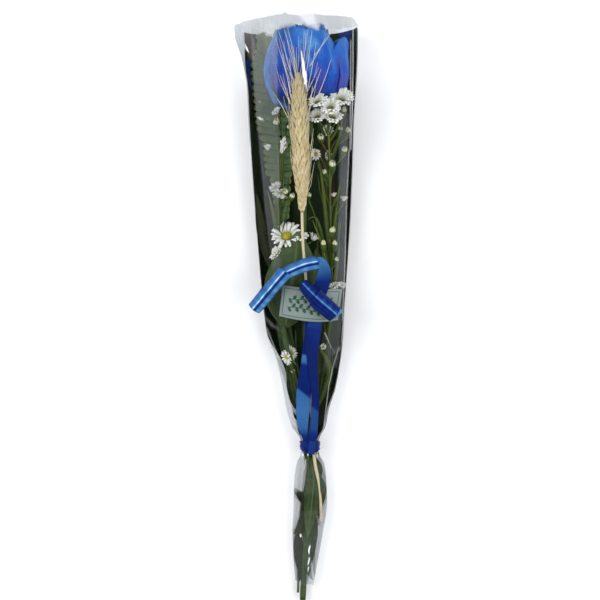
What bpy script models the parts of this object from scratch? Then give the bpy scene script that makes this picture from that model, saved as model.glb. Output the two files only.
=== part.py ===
"""A blue rose bud wrapped as a single-stem bouquet, lying on a flat surface.

The rose lies with a sword-fern frond, a leafy sprig, three aster sprays and an ear of bearded
wheat on a dark liner sheet, inside a clear film sleeve. A satin ribbon ties the sleeve's neck, and
its two curled ends lie on the sleeve with a plain white sticker. +Y runs from the cut stems to the
flower, +Z is up, and the origin is under the middle of the bouquet, on the surface. Sizes are in
millimetres, and MM turns them into metres where a mesh is made.
"""

import math

import bmesh
import bpy
import numpy as np
from mathutils import Matrix, Vector

MM = 0.001
MERGE = 0.00002
PARTS = "wrapped_rose"
HELPERS = "helpers"

# The middle of the bouquet's length and width in the places given below.
MIDDLE = (-1.2, -4.6)

# The sleeve, as cross-sections from its open top to the end of its tail.
# Each row: y, centre x, half width, underside z, z of the widest line, topside z.
SECTIONS = np.array([
    (232, -1.2, 50.2, 0.0, 20.0, 60.0),
    (218, -0.8, 49.6, 0.0, 21.0, 65.5),
    (196, 2.0, 46.4, 0.0, 22.0, 71.0),
    (176, 3.4, 44.2, 0.0, 22.0, 72.0),
    (150, 3.2, 42.8, 0.0, 20.0, 66.0),
    (110, 3.8, 41.0, 0.0, 18.0, 55.0),
    (70, 4.4, 38.8, 0.0, 16.0, 47.0),
    (30, 4.8, 36.0, 0.0, 15.0, 42.0),
    (0, 5.2, 33.6, 0.0, 14.0, 39.0),
    (-24, 6.2, 31.4, 0.0, 13.0, 36.0),
    (-45, 9.2, 26.0, 0.0, 12.0, 32.0),
    (-65, 9.6, 22.0, 0.0, 11.0, 28.0),
    (-85, 8.4, 17.0, 0.5, 10.0, 23.5),
    (-98, 9.0, 13.8, 0.8, 10.0, 21.6),
    (-106, 9.8, 8.8, 1.3, 10.0, 19.4),
    (-113, 10.0, 6.7, 1.5, 10.0, 18.8),
    (-120, 10.0, 7.8, 1.2, 10.0, 19.2),
    (-128, 10.4, 11.6, 0.4, 9.5, 20.4),
    (-140, 10.2, 13.2, 0.0, 9.0, 20.5),
    (-160, 10.2, 13.8, 0.0, 8.5, 19.5),
    (-180, 8.6, 13.0, 0.0, 8.0, 18.0),
    (-200, 7.2, 11.0, 0.0, 7.0, 16.0),
    (-224, 5.4, 8.0, 0.0, 6.0, 13.2),
])
SECTION_SIDES = 20
FLAT_SHARE = 0.6
ROUND_BELOW = 10.0
FLAT_ABOVE = 25.0
TOP_FULLNESS = 2.2
FILM_THICKNESS = 0.8
TOP_EDGE_Y = 225.0
TAIL_EDGE_Y = -224.0

# The dark liner sheet in the sleeve: y, left edge x, right edge x.
LINER_EDGES = np.array([
    (220, -43.5, 47.2),
    (196, -41.2, 46.2),
    (176, -39.0, 45.6),
    (150, -37.4, 44.2),
    (110, -35.0, 43.0),
    (70, -32.2, 41.4),
    (30, -29.2, 39.0),
    (0, -26.6, 37.2),
    (-24, -23.4, 35.6),
    (-45, -13.0, 33.4),
    (-65, -6.6, 29.6),
    (-85, -1.2, 23.6),
])
LINER_DEPTH = 1.7
LINER_THICKNESS = 0.6
LINER_SIDES = 11

# The stems in the neck: offsets from its centre, x and z.
NECK_Y = -113.0
NECK_X = 10.0
NECK_Z = 10.0
ROSE_SLOT = (0.0, -0.6)
WHEAT_SLOT = (2.6, 4.6)
SPRIG_SLOT = (-3.8, 1.9)
FERN_SLOT = (-3.6, -3.3)
RIGHT_SPRAY_SLOT = (4.1, 0.8)
LEFT_SPRAY_SLOT = (-1.6, 5.2)
LOW_SPRAY_SLOT = (3.0, -4.4)

# The rose.
ROSE_BASE = np.array((3.6, 153.0, 36.5))
ROSE_FLATTEN = 0.93
PETAL_THICKNESS = 0.7
ROSE_STEM_RADIUS = 2.5

# The fern's pairs of leaflets, and the longest leaflet.
LEAFLET_PAIRS = 22
LEAFLET_LENGTH = 22.0

# The wheat ear's kernels: down its two sides, and along its front. The longest awn.
SIDE_KERNELS = 18
FRONT_KERNELS = 5
AWN_LENGTH = 44.0

# Sides of a twig, and the thickness of a leaf blade, a ray and a sheet of leaflets.
TWIG_SIDES = 4
BLADE_THICKNESS = 0.7
RAY_THICKNESS = 0.62

# The ribbon, its curls, and its clearance to what it lies on.
CURL_WIDTH = 13.0
RIBBON_THICKNESS = 0.7
RIBBON_GAP = 0.95
BAND_THICKNESS = 0.9

# The sticker: its corners, x and y, top left, top right, bottom left, bottom right.
LABEL_CORNERS = ((-11.8, 16.3), (35.6, 13.1), (-14.6, -8.3), (32.1, -11.4))
LABEL_THICKNESS = 0.6


def material(name, colour, roughness, alpha=1.0):
    mat = bpy.data.materials.new(name)
    mat.use_nodes = True
    shader = mat.node_tree.nodes["Principled BSDF"]
    shader.inputs["Base Color"].default_value = (*colour, 1.0)
    shader.inputs["Roughness"].default_value = roughness
    shader.inputs["Metallic"].default_value = 0.0
    shader.inputs["Alpha"].default_value = alpha
    return mat


def smooth_step(t):
    t = min(max(t, 0.0), 1.0)
    return t * t * (3.0 - 2.0 * t)


def unit(v):
    return v / max(np.linalg.norm(v), 1e-9)


def section_at(y):
    """Centre x, half width, underside z, widest z and topside z of the sleeve at y."""
    rows = SECTIONS[::-1]
    return [np.interp(y, rows[:, 0], rows[:, k]) for k in range(1, 6)]


def section_point(y, angle, depth=0.0):
    """A point of the sleeve's outer surface, or depth inside it. Angle 0 is +X, a quarter turn is up."""
    centre, half, low, side, top = section_at(y)
    half, low, top = half - depth, low + depth, top - depth
    across = math.cos(angle)
    share = abs(across)
    if math.sin(angle) >= 0.0:
        z = side + (top - side) * math.sqrt(max(0.0, 1.0 - share ** TOP_FULLNESS))
    else:
        flat = FLAT_SHARE * smooth_step((half - ROUND_BELOW) / (FLAT_ABOVE - ROUND_BELOW))
        over = max(0.0, share - flat) / (1.0 - flat)
        z = side - (side - low) * math.sqrt(max(0.0, 1.0 - over * over))
    return np.array((centre + half * across, y, z))


def floor_z(x, y):
    """Height of the sleeve's lower side over a point of the surface."""
    centre, half, low, side, _ = section_at(y)
    flat = FLAT_SHARE * smooth_step((half - ROUND_BELOW) / (FLAT_ABOVE - ROUND_BELOW))
    over = max(0.0, min(1.0, abs(x - centre) / half) - flat) / (1.0 - flat)
    return side - (side - low) * math.sqrt(max(0.0, 1.0 - over * over))


def top_z(x, y):
    """Height of the sleeve's upper side over a point of the surface."""
    centre, half, _, side, top = section_at(y)
    share = min(1.0, abs(x - centre) / half)
    return side + (top - side) * math.sqrt(max(0.0, 1.0 - share ** TOP_FULLNESS))


def curve_through(points, count):
    """Points evenly placed along a smooth curve through the given ones."""
    p = np.array(points, float)
    ends = np.vstack([2 * p[0] - p[1], p, 2 * p[-1] - p[-2]])
    fine = []
    for k in range(len(p) - 1):
        a, b, c, d = ends[k:k + 4]
        for t in np.linspace(0.0, 1.0, 12, endpoint=False):
            fine.append(0.5 * (2 * b + (c - a) * t + (2 * a - 5 * b + 4 * c - d) * t * t
                               + (3 * b - a - 3 * c + d) * t ** 3))
    fine.append(p[-1])
    fine = np.array(fine)
    lengths = np.concatenate([[0.0], np.cumsum(np.linalg.norm(np.diff(fine, axis=0), axis=1))])
    at = np.linspace(0.0, lengths[-1], count)
    return np.column_stack([np.interp(at, lengths, fine[:, k]) for k in range(3)])


def object_from(name, verts, faces, edges=()):
    mesh = bpy.data.meshes.new(name)
    mesh.from_pydata([tuple(float(c) * MM for c in v) for v in verts], list(edges), faces)
    obj = bpy.data.objects.new(name, mesh)
    bpy.data.collections[HELPERS].objects.link(obj)
    return obj


def grid_faces(rows, columns, closed=False):
    """Triangles of a grid of points, all split the same way."""
    faces = []
    for i in range(rows - 1):
        for j in range(columns if closed else columns - 1):
            k = (j + 1) % columns
            a, b = i * columns + j, i * columns + k
            c, d = (i + 1) * columns + k, (i + 1) * columns + j
            faces += [(a, b, c), (a, c, d)]
    return faces


def applied(obj):
    """The object with its modifiers applied."""
    graph = bpy.context.evaluated_depsgraph_get()
    mesh = bpy.data.meshes.new_from_object(obj.evaluated_get(graph))
    obj.modifiers.clear()
    obj.data = mesh
    return obj


def solidified(obj, thickness, offset=0.0):
    solid = obj.modifiers.new("Solidify", "SOLIDIFY")
    solid.thickness = thickness * MM
    solid.offset = offset
    solid.use_rim = True
    return applied(obj)


def sheet(name, grid, thickness, offset=0.0, closed=False):
    """A thin closed solid on a grid of points, rows by columns."""
    rows, columns = grid.shape[:2]
    obj = object_from(name, grid.reshape(-1, 3), grid_faces(rows, columns, closed))
    return solidified(obj, thickness, offset)


def tube(name, points, radii, sides):
    """A stem along points: a round-bevelled curve with filled caps, as a mesh."""
    curve = bpy.data.curves.new(name, "CURVE")
    curve.dimensions = "3D"
    curve.bevel_depth = MM
    curve.bevel_resolution = (sides - 4) // 2
    curve.use_fill_caps = True
    spline = curve.splines.new("POLY")
    spline.points.add(len(points) - 1)
    for k, p in enumerate(points):
        spline.points[k].co = (*(float(c) * MM for c in p), 1.0)
        spline.points[k].radius = float(radii[k])
    made = bpy.data.objects.new(name, curve)
    bpy.data.collections[HELPERS].objects.link(made)
    bpy.context.view_layer.update()
    graph = bpy.context.evaluated_depsgraph_get()
    mesh = bpy.data.meshes.new_from_object(made.evaluated_get(graph))
    bpy.data.objects.remove(made)
    build = bmesh.new()
    build.from_mesh(mesh)
    bmesh.ops.remove_doubles(build, verts=build.verts, dist=MERGE)
    bmesh.ops.recalc_face_normals(build, faces=build.faces)
    build.to_mesh(mesh)
    build.free()
    obj = bpy.data.objects.new(name, mesh)
    bpy.data.collections[HELPERS].objects.link(obj)
    return obj


def stalk(name, through, count, start_radius, end_radius, sides=TWIG_SIDES):
    points = curve_through(through, count)
    return tube(name, points, np.linspace(start_radius, end_radius, count), sides)


def turned(name, base, direction, profile, sides):
    """A solid turned about direction from base. Each profile entry is a distance along and a radius."""
    points = [(radius, 0.0, along) for along, radius in reversed(profile)]
    obj = object_from(name, points, [], [(k, k + 1) for k in range(len(points) - 1)])
    screw = obj.modifiers.new("Screw", "SCREW")
    screw.steps = screw.render_steps = sides
    screw.use_merge_vertices = True
    screw.merge_threshold = MERGE
    applied(obj)
    turn = Vector(direction).to_track_quat("Z", "Y").to_matrix().to_4x4()
    obj.data.transform(Matrix.Translation(Vector(base) * MM) @ turn)
    return obj


def fuse(name, pieces, mat, solver="EXACT"):
    """One closed solid from pieces that overlap, by a Boolean union on their collection."""
    joined = bpy.data.collections.new(name + "_pieces")
    bpy.context.scene.collection.children.link(joined)
    first, rest = pieces[0], pieces[1:]
    for piece in rest:
        bpy.data.collections[HELPERS].objects.unlink(piece)
        joined.objects.link(piece)
    union = first.modifiers.new("Union", "BOOLEAN")
    union.operation = "UNION"
    union.operand_type = "COLLECTION"
    union.collection = joined
    union.solver = solver
    bpy.context.view_layer.update()
    applied(first)
    for piece in rest:
        bpy.data.objects.remove(piece)
    bpy.data.collections.remove(joined)
    return finish(first, name, mat)


def finish(obj, name, mat, smooth_below=40.0):
    obj.name = name
    obj.data.name = name
    obj.data.materials.clear()
    obj.data.materials.append(mat)
    obj.data.transform(Matrix.Translation((-MIDDLE[0] * MM, -MIDDLE[1] * MM, 0.0)))
    obj.data.shade_smooth()
    obj.data.set_sharp_from_angle(angle=math.radians(smooth_below))
    bpy.data.collections[HELPERS].objects.unlink(obj)
    bpy.data.collections[PARTS].objects.link(obj)
    return obj


def neck_point(slot, y=NECK_Y):
    return (NECK_X + slot[0], y, NECK_Z + slot[1])


# Sleeve and liner


def sleeve():
    turns = [2 * math.pi * k / SECTION_SIDES for k in range(SECTION_SIDES)]
    grid = np.array([[section_point(y, turn) for turn in turns] for y in SECTIONS[:, 0]])
    for k, turn in enumerate(turns):
        up = math.sin(turn)
        grid[0, k, 1] = TOP_EDGE_Y + math.cos(turn) + 3.2 * abs(up) + 1.2 * up
        grid[-1, k, 1] = TAIL_EDGE_Y - 2.0 * math.cos(turn) - 1.5 * abs(up)
    film = sheet("sleeve", grid, FILM_THICKNESS, offset=-1.0, closed=True)
    return finish(film, "sleeve", material("clear_film", (0.85, 0.9, 0.94), 0.08, alpha=0.25))


def liner():
    rows = []
    for y, left, right in LINER_EDGES:
        centre, half = section_at(y)[:2]
        half -= LINER_DEPTH
        first = math.acos(max(-1.0, (left - centre) / half))
        last = math.acos(min(1.0, (right - centre) / half))
        turns = np.linspace(-first, -last, LINER_SIDES)
        rows.append([section_point(y, turn, LINER_DEPTH) for turn in turns])
    grid = np.array(rows)
    made = sheet("liner", grid, LINER_THICKNESS, offset=-1.0)
    return finish(made, "liner", material("liner", (0.02, 0.028, 0.022), 0.55))


# Rose


def petal_grid(turn, radius, height, spread, top, curl, ruffle=0.5, across=6, along=5, phase=0.0):
    """One cupped petal round the rose's axis. Turn 0 faces up, a quarter turn faces +X."""
    grid = np.zeros((along, across, 3))
    for i, v in enumerate(np.linspace(0.0, 1.0, along)):
        swell = 0.22 + 0.78 * math.sin(math.pi / 2 * min(1.0, v / 0.5))
        if v > 0.5:
            swell = 1.0 + (top - 1.0) * smooth_step((v - 0.5) / 0.5)
        lip = max(0.0, (v - 0.7) / 0.3) ** 2
        span = spread * (0.42 + 0.58 * math.sin(math.pi / 2 * min(1.0, v / 0.55)))
        span *= 1.0 - 0.22 * max(0.0, (v - 0.65) / 0.35) ** 2
        for j, u in enumerate(np.linspace(-1.0, 1.0, across)):
            wave = ruffle * math.sin(4.0 * u + phase) * v ** 3
            r = radius * swell * (1.0 + 0.05 * u) + curl * lip + wave
            h = height * v * (1.0 - 0.10 * abs(u) ** 2.5 * v) - 0.35 * abs(curl) * lip
            a = turn + u * span
            grid[i, j] = ROSE_BASE + (r * math.sin(a), h, r * math.cos(a) * ROSE_FLATTEN)
    return grid


def petals():
    """Rows of petals: count, radius, height, half spread in degrees, closing at the top, curl, first turn."""
    layers = [
        (3, 12.0, 67.0, 72, 0.62, 0.0, 20),
        (4, 17.0, 69.5, 60, 0.74, 0.0, 55),
        (5, 22.0, 70.5, 52, 0.82, 0.5, 10),
        (4, 25.6, 68.5, 60, 0.88, 1.0, 40),
    ]
    outer = [
        (-52, 29.6, 65.0, 58, 0.93, 1.5),
        (36, 29.2, 66.0, 50, 0.92, 1.0),
        (104, 33.5, 58.0, 40, 1.06, 3.0),
        (170, 29.0, 60.0, 46, 0.98, 2.0),
        (-118, 31.0, 57.0, 40, 0.98, 2.0),
    ]
    core = [(-3.0, 0.0), (-2.5, 6.5), (1.0, 9.6), (7.0, 9.6), (30.0, 9.0), (52.0, 5.0), (60.0, 0.0)]
    pieces = [turned("core", ROSE_BASE, (0, 1, 0), core, 8)]
    for count, radius, height, spread, top, curl, first in layers:
        for k in range(count):
            turn = math.radians(first + 360.0 * k / count)
            grid = petal_grid(turn, radius, height, math.radians(spread), top, curl, across=5,
                              along=4 if radius < 20.0 else 5, phase=1.7 * k + radius)
            pieces.append(sheet("petal", grid, PETAL_THICKNESS))
    for k, (turn, radius, height, spread, top, curl) in enumerate(outer):
        grid = petal_grid(math.radians(turn), radius, height, math.radians(spread), top, curl,
                          across=6, along=6, phase=0.9 * k)
        pieces.append(sheet("petal", grid, PETAL_THICKNESS))
    return fuse("rose_petals", pieces, material("rose_petals", (0.035, 0.12, 0.55), 0.5))


def blade_grid(through, width, along, across=3, cup=0.15, tip=0.08, root=0.1, up=(0, 0, 1)):
    """A leaf blade along a curve, widest a little below its middle, cupped across."""
    line = curve_through(through, along)
    normal_hint = np.array(up, float)
    grid = np.zeros((along, across, 3))
    for i in range(along):
        v = i / (along - 1)
        ahead = unit(line[min(i + 1, along - 1)] - line[max(i - 1, 0)])
        side = unit(np.cross(ahead, normal_hint))
        normal = np.cross(side, ahead)
        half = 0.5 * width * max(math.sin(math.pi * v ** 0.85) ** 0.8, root * (1 - v) + tip * v)
        for j, u in enumerate(np.linspace(-1.0, 1.0, across)):
            grid[i, j] = line[i] + side * (half * u) + normal * (cup * half * u * u)
    return grid


def blade(name, through, width, along=7, **shape):
    return sheet(name, blade_grid(through, width, along, **shape), BLADE_THICKNESS)


def rose_stem():
    base = ROSE_BASE - (0.0, 3.4, 0.0)
    through = [
        (4.2, -238.6, 5.0), (6.2, -200, 5.6), (8.4, -160, 6.6), neck_point(ROSE_SLOT, -128),
        neck_point(ROSE_SLOT), neck_point(ROSE_SLOT, -98), (7.6, -60, 11.5), (6.0, 0, 17.0),
        (4.8, 75, 25.5), (4.0, 125, 33.0), tuple(base - (0.0, 6.0, 0.2)),
    ]
    points = curve_through(through, 18)
    pieces = [tube("rose_stalk", points, np.full(18, ROSE_STEM_RADIUS), 8)]
    cup = [(-11.0, 0.0), (-10.5, 2.4), (-6.0, 5.6), (-2.5, 7.2), (-0.4, 6.8), (0.0, 0.0)]
    pieces.append(turned("hip", base, (0, 1, 0), cup, 8))
    for k in range(5):
        turn = math.radians(30 + 72 * k)
        out = np.array((math.sin(turn), 0.0, math.cos(turn)))
        root = base + out * 5.5 - (0.0, 2.4, 0.0)
        bend = base + out * 12.0 - (0.0, 5.0, 0.0)
        end = base + out * 15.0 - (0.0, 17.0, 0.0)
        pieces.append(blade("sepal", [root, bend, end], 5.0, along=5, up=out))
    return fuse("rose_stem", pieces, material("rose_green", (0.08, 0.16, 0.04), 0.5))


# Fern


def fern():
    """One sword-fern frond: leaflets cut to the rib on a thin arched blade, on a round rachis."""
    through = [
        (0.4, -232.6, 4.4), (1.2, -200, 4.8), (2.8, -165, 5.6), neck_point(FERN_SLOT, -130),
        neck_point(FERN_SLOT), neck_point(FERN_SLOT, -97), (-1.5, -55, 6.2), (-9.5, 0, 5.2),
        (-11.5, 60, 5.0), (-11.5, 120, 4.8), (-13.5, 175, 4.8), (-20.0, 217, 5.6),
    ]
    points = curve_through(through, 26)
    pieces = [tube("rachis", points, np.interp(np.arange(26), [0, 12, 25], [1.0, 0.9, 0.5]), TWIG_SIDES)]
    line = curve_through(through[7:], 200)
    verts, faces = [], []
    for k in range(LEAFLET_PAIRS):
        s = 0.40 + 0.59 * k / (LEAFLET_PAIRS - 1)
        low, high = line[int(s * 196)], line[min(199, int(s * 196) + 5)]
        first = len(verts)
        for at in (low, high):
            verts += [at + (-0.55, 0.0, 0.0), at + (0.55, 0.0, 0.0)]
        if k:
            a, b = first - 12, first
            faces += [(a + 2, a + 3, b + 1), (a + 2, b + 1, b)]
        faces += [(first, first + 1, first + 3), (first, first + 3, first + 2)]
        length = LEAFLET_LENGTH * min(1.0, 0.5 + 3.0 * (s - 0.40)) * min(1.0, 0.25 + 3.6 * (1.0 - s))
        for side in (-1.0, 1.0):
            reach = length * (1.0 if side < 0 else 0.8)
            root, corner = (first, first + 2) if side < 0 else (first + 1, first + 3)
            new = len(verts)
            for share, forward in ((0.72, 0.0), (0.98, 1.6), (1.0, 4.2), (0.62, 5.2)):
                x = low[0] + side * reach * share
                y = low[1] + 0.22 * reach * share + forward
                z = max(low[2] + 0.4 * math.sin(3.0 * share), floor_z(x, y) + 4.6 + 0.8 * share)
                verts.append(np.array((x, y, z)))
            fan = [root, new, new + 1, new + 2, new + 3, corner]
            for n in range(1, 5):
                tri = (fan[0], fan[n], fan[n + 1])
                faces.append(tri if side > 0 else tri[::-1])
    fronds = object_from("leaflets", verts, faces)
    pieces.append(solidified(fronds, RAY_THICKNESS))
    return fuse("fern_frond", pieces, material("fern_green", (0.09, 0.17, 0.05), 0.55), "MANIFOLD")


# Wheat


def wheat():
    """An ear of bearded wheat on its straw."""
    ear = curve_through([(3.6, 73.2, 41.5), (3.6, 91.3, 45.0), (2.8, 114.6, 51.0), (2.0, 137.6, 56.8),
                         (1.2, 160.6, 62.4), (0.4, 184.0, 67.2)], 60)
    straw = [(13.6, -186, 12.0), (13.4, -160, 13.2), neck_point(WHEAT_SLOT, -130), neck_point(WHEAT_SLOT),
             neck_point(WHEAT_SLOT, -99), (10.6, -76, 18.4), (8.4, -23.5, 29.0), (6.8, 24, 34.6),
             (5.2, 48, 37.4), (3.6, 73.2, 41.5), tuple(ear[8])]
    pieces = [stalk("straw", straw, 20, 1.35, 1.1, 6), tube("ear_axis", ear[2:60:7], np.full(9, 1.2), 4)]
    kernel = [(0.0, 0.0), (1.6, 1.5), (6.0, 2.4), (12.0, 0.0)]
    for k in range(SIDE_KERNELS):
        s = k / (SIDE_KERNELS - 1)
        at = ear[int(2 + 52 * s)]
        ahead = unit(ear[min(59, int(2 + 52 * s) + 2)] - ear[int(2 + 52 * s)])
        side = -1.0 if k % 2 else 1.0
        wide = 1.0 - 0.45 * abs(2 * s - 0.9) ** 1.6
        out = unit(ahead + np.array((side * 0.40, 0.0, 0.05)))
        root = at + (side * 1.3, 0.0, 0.0)
        shape = [(a * (0.8 + 0.2 * wide), r * (0.75 + 0.3 * wide)) for a, r in kernel]
        pieces.append(turned("spikelet", root, out, shape, 5))
        start = root + out * (shape[-1][0] - 2.6)
        reach = AWN_LENGTH * (1.0 - 0.32 * s)
        end = start + (side * (5.0 + 7.0 * (1.0 - s)) + 2.0 * math.sin(2.3 * k), reach, 0.0)
        end[2] = min(top_z(end[0], end[1]) - 3.0, start[2] + 0.30 * reach)
        middle = 0.5 * (start + end) + (side * 0.8, 0.0, 1.2)
        if k % 4 != 3:
            pieces.append(stalk("awn", [start, middle, end], 4, 0.42, 0.32))
    for k in range(FRONT_KERNELS):
        s = 0.10 + 0.72 * k / (FRONT_KERNELS - 1)
        at = ear[int(2 + 52 * s)] + (0.0, 0.0, 1.4)
        ahead = unit(ear[min(59, int(2 + 52 * s) + 2)] - ear[int(2 + 52 * s)])
        pieces.append(turned("spikelet", at, ahead + np.array((0.0, 0.0, 0.08)), kernel, 5))
    return fuse("wheat_ear", pieces, material("wheat", (0.62, 0.5, 0.26), 0.6))


# Aster sprays


def aster(centre, facing, diameter, rays, lift=0.18, turn=0.0):
    """A daisy-like head: a turned disc on its green cup, and a thin ring cut into rays."""
    axis = unit(np.array(facing, float))
    centre = np.array(centre, float)
    helper = np.array((0.0, 0.0, 1.0)) if abs(axis[2]) < 0.8 else np.array((0.0, 1.0, 0.0))
    side = unit(np.cross(helper, axis))
    other = np.cross(axis, side)
    size = diameter / 18.0
    cup = [(-3.6, 0.0), (-1.2, 2.0), (0.9, 2.3), (1.8, 0.0)]
    verts, faces = [centre], []
    for k in range(rays):
        a = turn + 2 * math.pi * k / rays
        tip = 0.5 * diameter
        wide = 1.9 / rays
        places = ((a - math.pi / rays, 2.7 * size, 0.0), (a - wide, tip, lift), (a + wide, tip, lift))
        for angle, radius, rise in places:
            out = math.cos(angle) * side + math.sin(angle) * other
            verts.append(centre + out * radius + axis * (rise * tip))
    for k in range(rays):
        hub, left, right = 1 + 3 * k, 2 + 3 * k, 3 + 3 * k
        after = 1 + 3 * ((k + 1) % rays)
        faces += [(0, hub, after), (hub, left, right), (hub, right, after)]
    ring = solidified(object_from("rays", verts, faces), RAY_THICKNESS)
    return [turned("disc", centre, axis, [(a * size, r * size) for a, r in cup], 6), ring]


def bud(centre, facing, size):
    shape = [(-2.2, 0.0), (-1.2, 1.3), (0.6, 1.6), (2.6, 0.0)]
    return turned("bud", centre, facing, [(a * size, r * size) for a, r in shape], 5)


def spray(name, through, heads, buds, leaves, mat):
    """A branching stem with aster heads, buds and narrow leaves.

    Heads: centre, facing, diameter, rays and where on the stem it branches off, from 0 to 1.
    Buds: centre, facing, size and branch. Leaves: root branch, middle, end and width.
    """
    line = curve_through(through, 120)
    pieces = [tube("spray_stem", line[::7], np.linspace(1.15, 0.75, 18), TWIG_SIDES)]

    def branch(centre, facing, at, back):
        start = line[int(at * 119)]
        along = unit(line[min(119, int(at * 119) + 3)] - line[int(at * 119) - 2])
        end = np.array(centre, float) - unit(np.array(facing, float)) * back
        reach = np.linalg.norm(end - start)
        middle = start + along * 0.45 * reach + (end - start) * 0.18
        pieces.append(stalk("branch", [start, middle, end], 4, 0.6, 0.45))

    for k, (centre, facing, diameter, rays, at) in enumerate(heads):
        pieces.extend(aster(centre, facing, diameter, rays, turn=0.4 * k))
        branch(centre, facing, at, 1.6 * diameter / 18.0)
    for centre, facing, size, at in buds:
        pieces.append(bud(centre, facing, size))
        branch(centre, facing, at, 0.4)
    for at, middle, end, width in leaves:
        root = line[int(at * 119)]
        grid = blade_grid([root, middle, end], width, 5, across=2, cup=0.0, tip=0.12, root=0.3)
        pieces.append(sheet("leaf", grid, RAY_THICKNESS))
    return fuse(name, pieces, mat)


def sprays():
    mat = material("aster", (0.78, 0.78, 0.72), 0.6)
    spray("asters_right",
          [(17.4, -178, 8.2), (16.8, -160, 9.0), neck_point(RIGHT_SPRAY_SLOT, -130),
           neck_point(RIGHT_SPRAY_SLOT), neck_point(RIGHT_SPRAY_SLOT, -98), (21.0, -50, 15.0),
           (25.5, 0, 20.0), (26.5, 50, 25.0), (26.0, 90, 33.0), (25.0, 125, 43.0), (24.0, 142, 47.0)],
          [((15.6, 158.6, 57.0), (-0.2, 0.3, 1.0), 15.0, 10, 0.97),
           ((26.8, 156.6, 51.8), (0.7, 0.4, 1.0), 14.5, 10, 0.98),
           ((34.4, 161.0, 42.4), (1.0, 0.6, 0.7), 12.0, 8, 0.95),
           ((14.0, 143.6, 53.4), (-0.2, -0.1, 1.0), 13.0, 9, 0.93),
           ((28.4, 143.6, 47.6), (0.7, -0.2, 1.0), 14.5, 10, 0.96),
           ((20.4, 119.1, 44.0), (0.1, -0.2, 1.0), 11.5, 9, 0.84),
           ((31.0, 89.6, 31.6), (0.5, 0.2, 1.0), 10.5, 8, 0.74)],
          [((36.0, 150.6, 41.0), (0.6, 0.8, 0.3), 1.25, 0.92),
           ((18.2, 132.0, 47.0), (-0.4, 0.8, 0.5), 1.1, 0.87),
           ((34.6, 136.4, 37.0), (0.5, 0.9, 0.3), 1.25, 0.85),
           ((36.0, 121.6, 30.0), (0.5, 0.8, 0.0), 1.1, 0.78),
           ((29.4, 106.0, 37.0), (0.3, 0.8, 0.5), 1.0, 0.76),
           ((35.4, 84.0, 25.0), (0.4, 0.9, 0.0), 1.1, 0.66)],
          [(0.60, (29.5, 62, 28.0), (31.5, 78, 31.0), 3.0),
           (0.66, (20.0, 96, 34.0), (17.0, 112, 38.0), 3.2),
           (0.55, (32.0, 34, 23.0), (34.0, 52, 23.0), 3.4)],
          mat)
    spray("asters_left",
          [(8.8, -186, 11.6), (8.6, -160, 12.2), (8.6, -143, 12.4), neck_point(LEFT_SPRAY_SLOT, -127),
           neck_point(LEFT_SPRAY_SLOT), neck_point(LEFT_SPRAY_SLOT, -98), (2.0, -60, 16.6),
           (-7.0, -10, 19.4), (-14.0, 35, 23.0), (-17.0, 75, 28.0), (-16.5, 105, 32.0), (-17.0, 128, 34.0)],
          [((-18.4, 152.0, 42.0), (-0.7, 0.3, 0.7), 11.0, 8, 0.99),
           ((-13.0, 127.1, 43.0), (-0.3, -0.1, 1.0), 10.5, 8, 0.93),
           ((-25.6, 126.6, 28.0), (-0.7, 0.3, 0.5), 10.0, 8, 0.90),
           ((-20.5, 95.1, 33.4), (-0.6, 0.7, 0.7), 12.0, 8, 0.80),
           ((-12.5, 84.2, 37.0), (-0.2, 0.6, 0.9), 11.0, 8, 0.78),
           ((-10.0, 60.0, 36.6), (-0.36, 0.1, 1.0), 20.0, 13, 0.70),
           ((-20.0, 44.0, 27.5), (-0.7, -0.2, 1.0), 12.0, 9, 0.64),
           ((-5.6, -41.5, 19.4), (-0.45, -0.1, 1.0), 16.0, 11, 0.40)],
          [((-9.0, 142.0, 42.0), (0.0, 0.9, 0.4), 1.2, 0.95),
           ((-6.0, 88.0, 40.0), (0.2, 0.9, 0.4), 1.1, 0.80)],
          [(0.72, (-22.0, 76, 29.0), (-27.0, 92, 25.0), 3.0),
           (0.84, (-22.0, 116, 32.0), (-27.0, 140, 28.0), 3.0)],
          mat)
    spray("asters_low",
          [(12.4, -190, 4.6), (13.0, -160, 4.6), neck_point(LOW_SPRAY_SLOT, -130),
           neck_point(LOW_SPRAY_SLOT), neck_point(LOW_SPRAY_SLOT, -98), (16.5, -60, 8.4),
           (17.0, -20, 14.0), (16.5, 15, 20.0), (16.5, 38, 25.0)],
          [((8.6, 56.0, 31.0), (-0.3, 0.3, 1.0), 10.0, 8, 0.97),
           ((17.6, 60.0, 33.5), (0.2, 0.4, 1.0), 11.0, 9, 0.98),
           ((30.6, 17.0, 26.0), (0.8, 0.3, 0.9), 10.0, 8, 0.80),
           ((20.6, -34.0, 23.5), (0.3, 0.1, 1.0), 8.0, 7, 0.62)],
          [((24.2, 60.0, 30.0), (0.4, 0.9, 0.4), 1.1, 0.93)],
          [(0.84, (21.0, 40, 28.0), (12.0, 68, 35.0), 2.8)],
          mat)


# Leafy sprig


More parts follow.
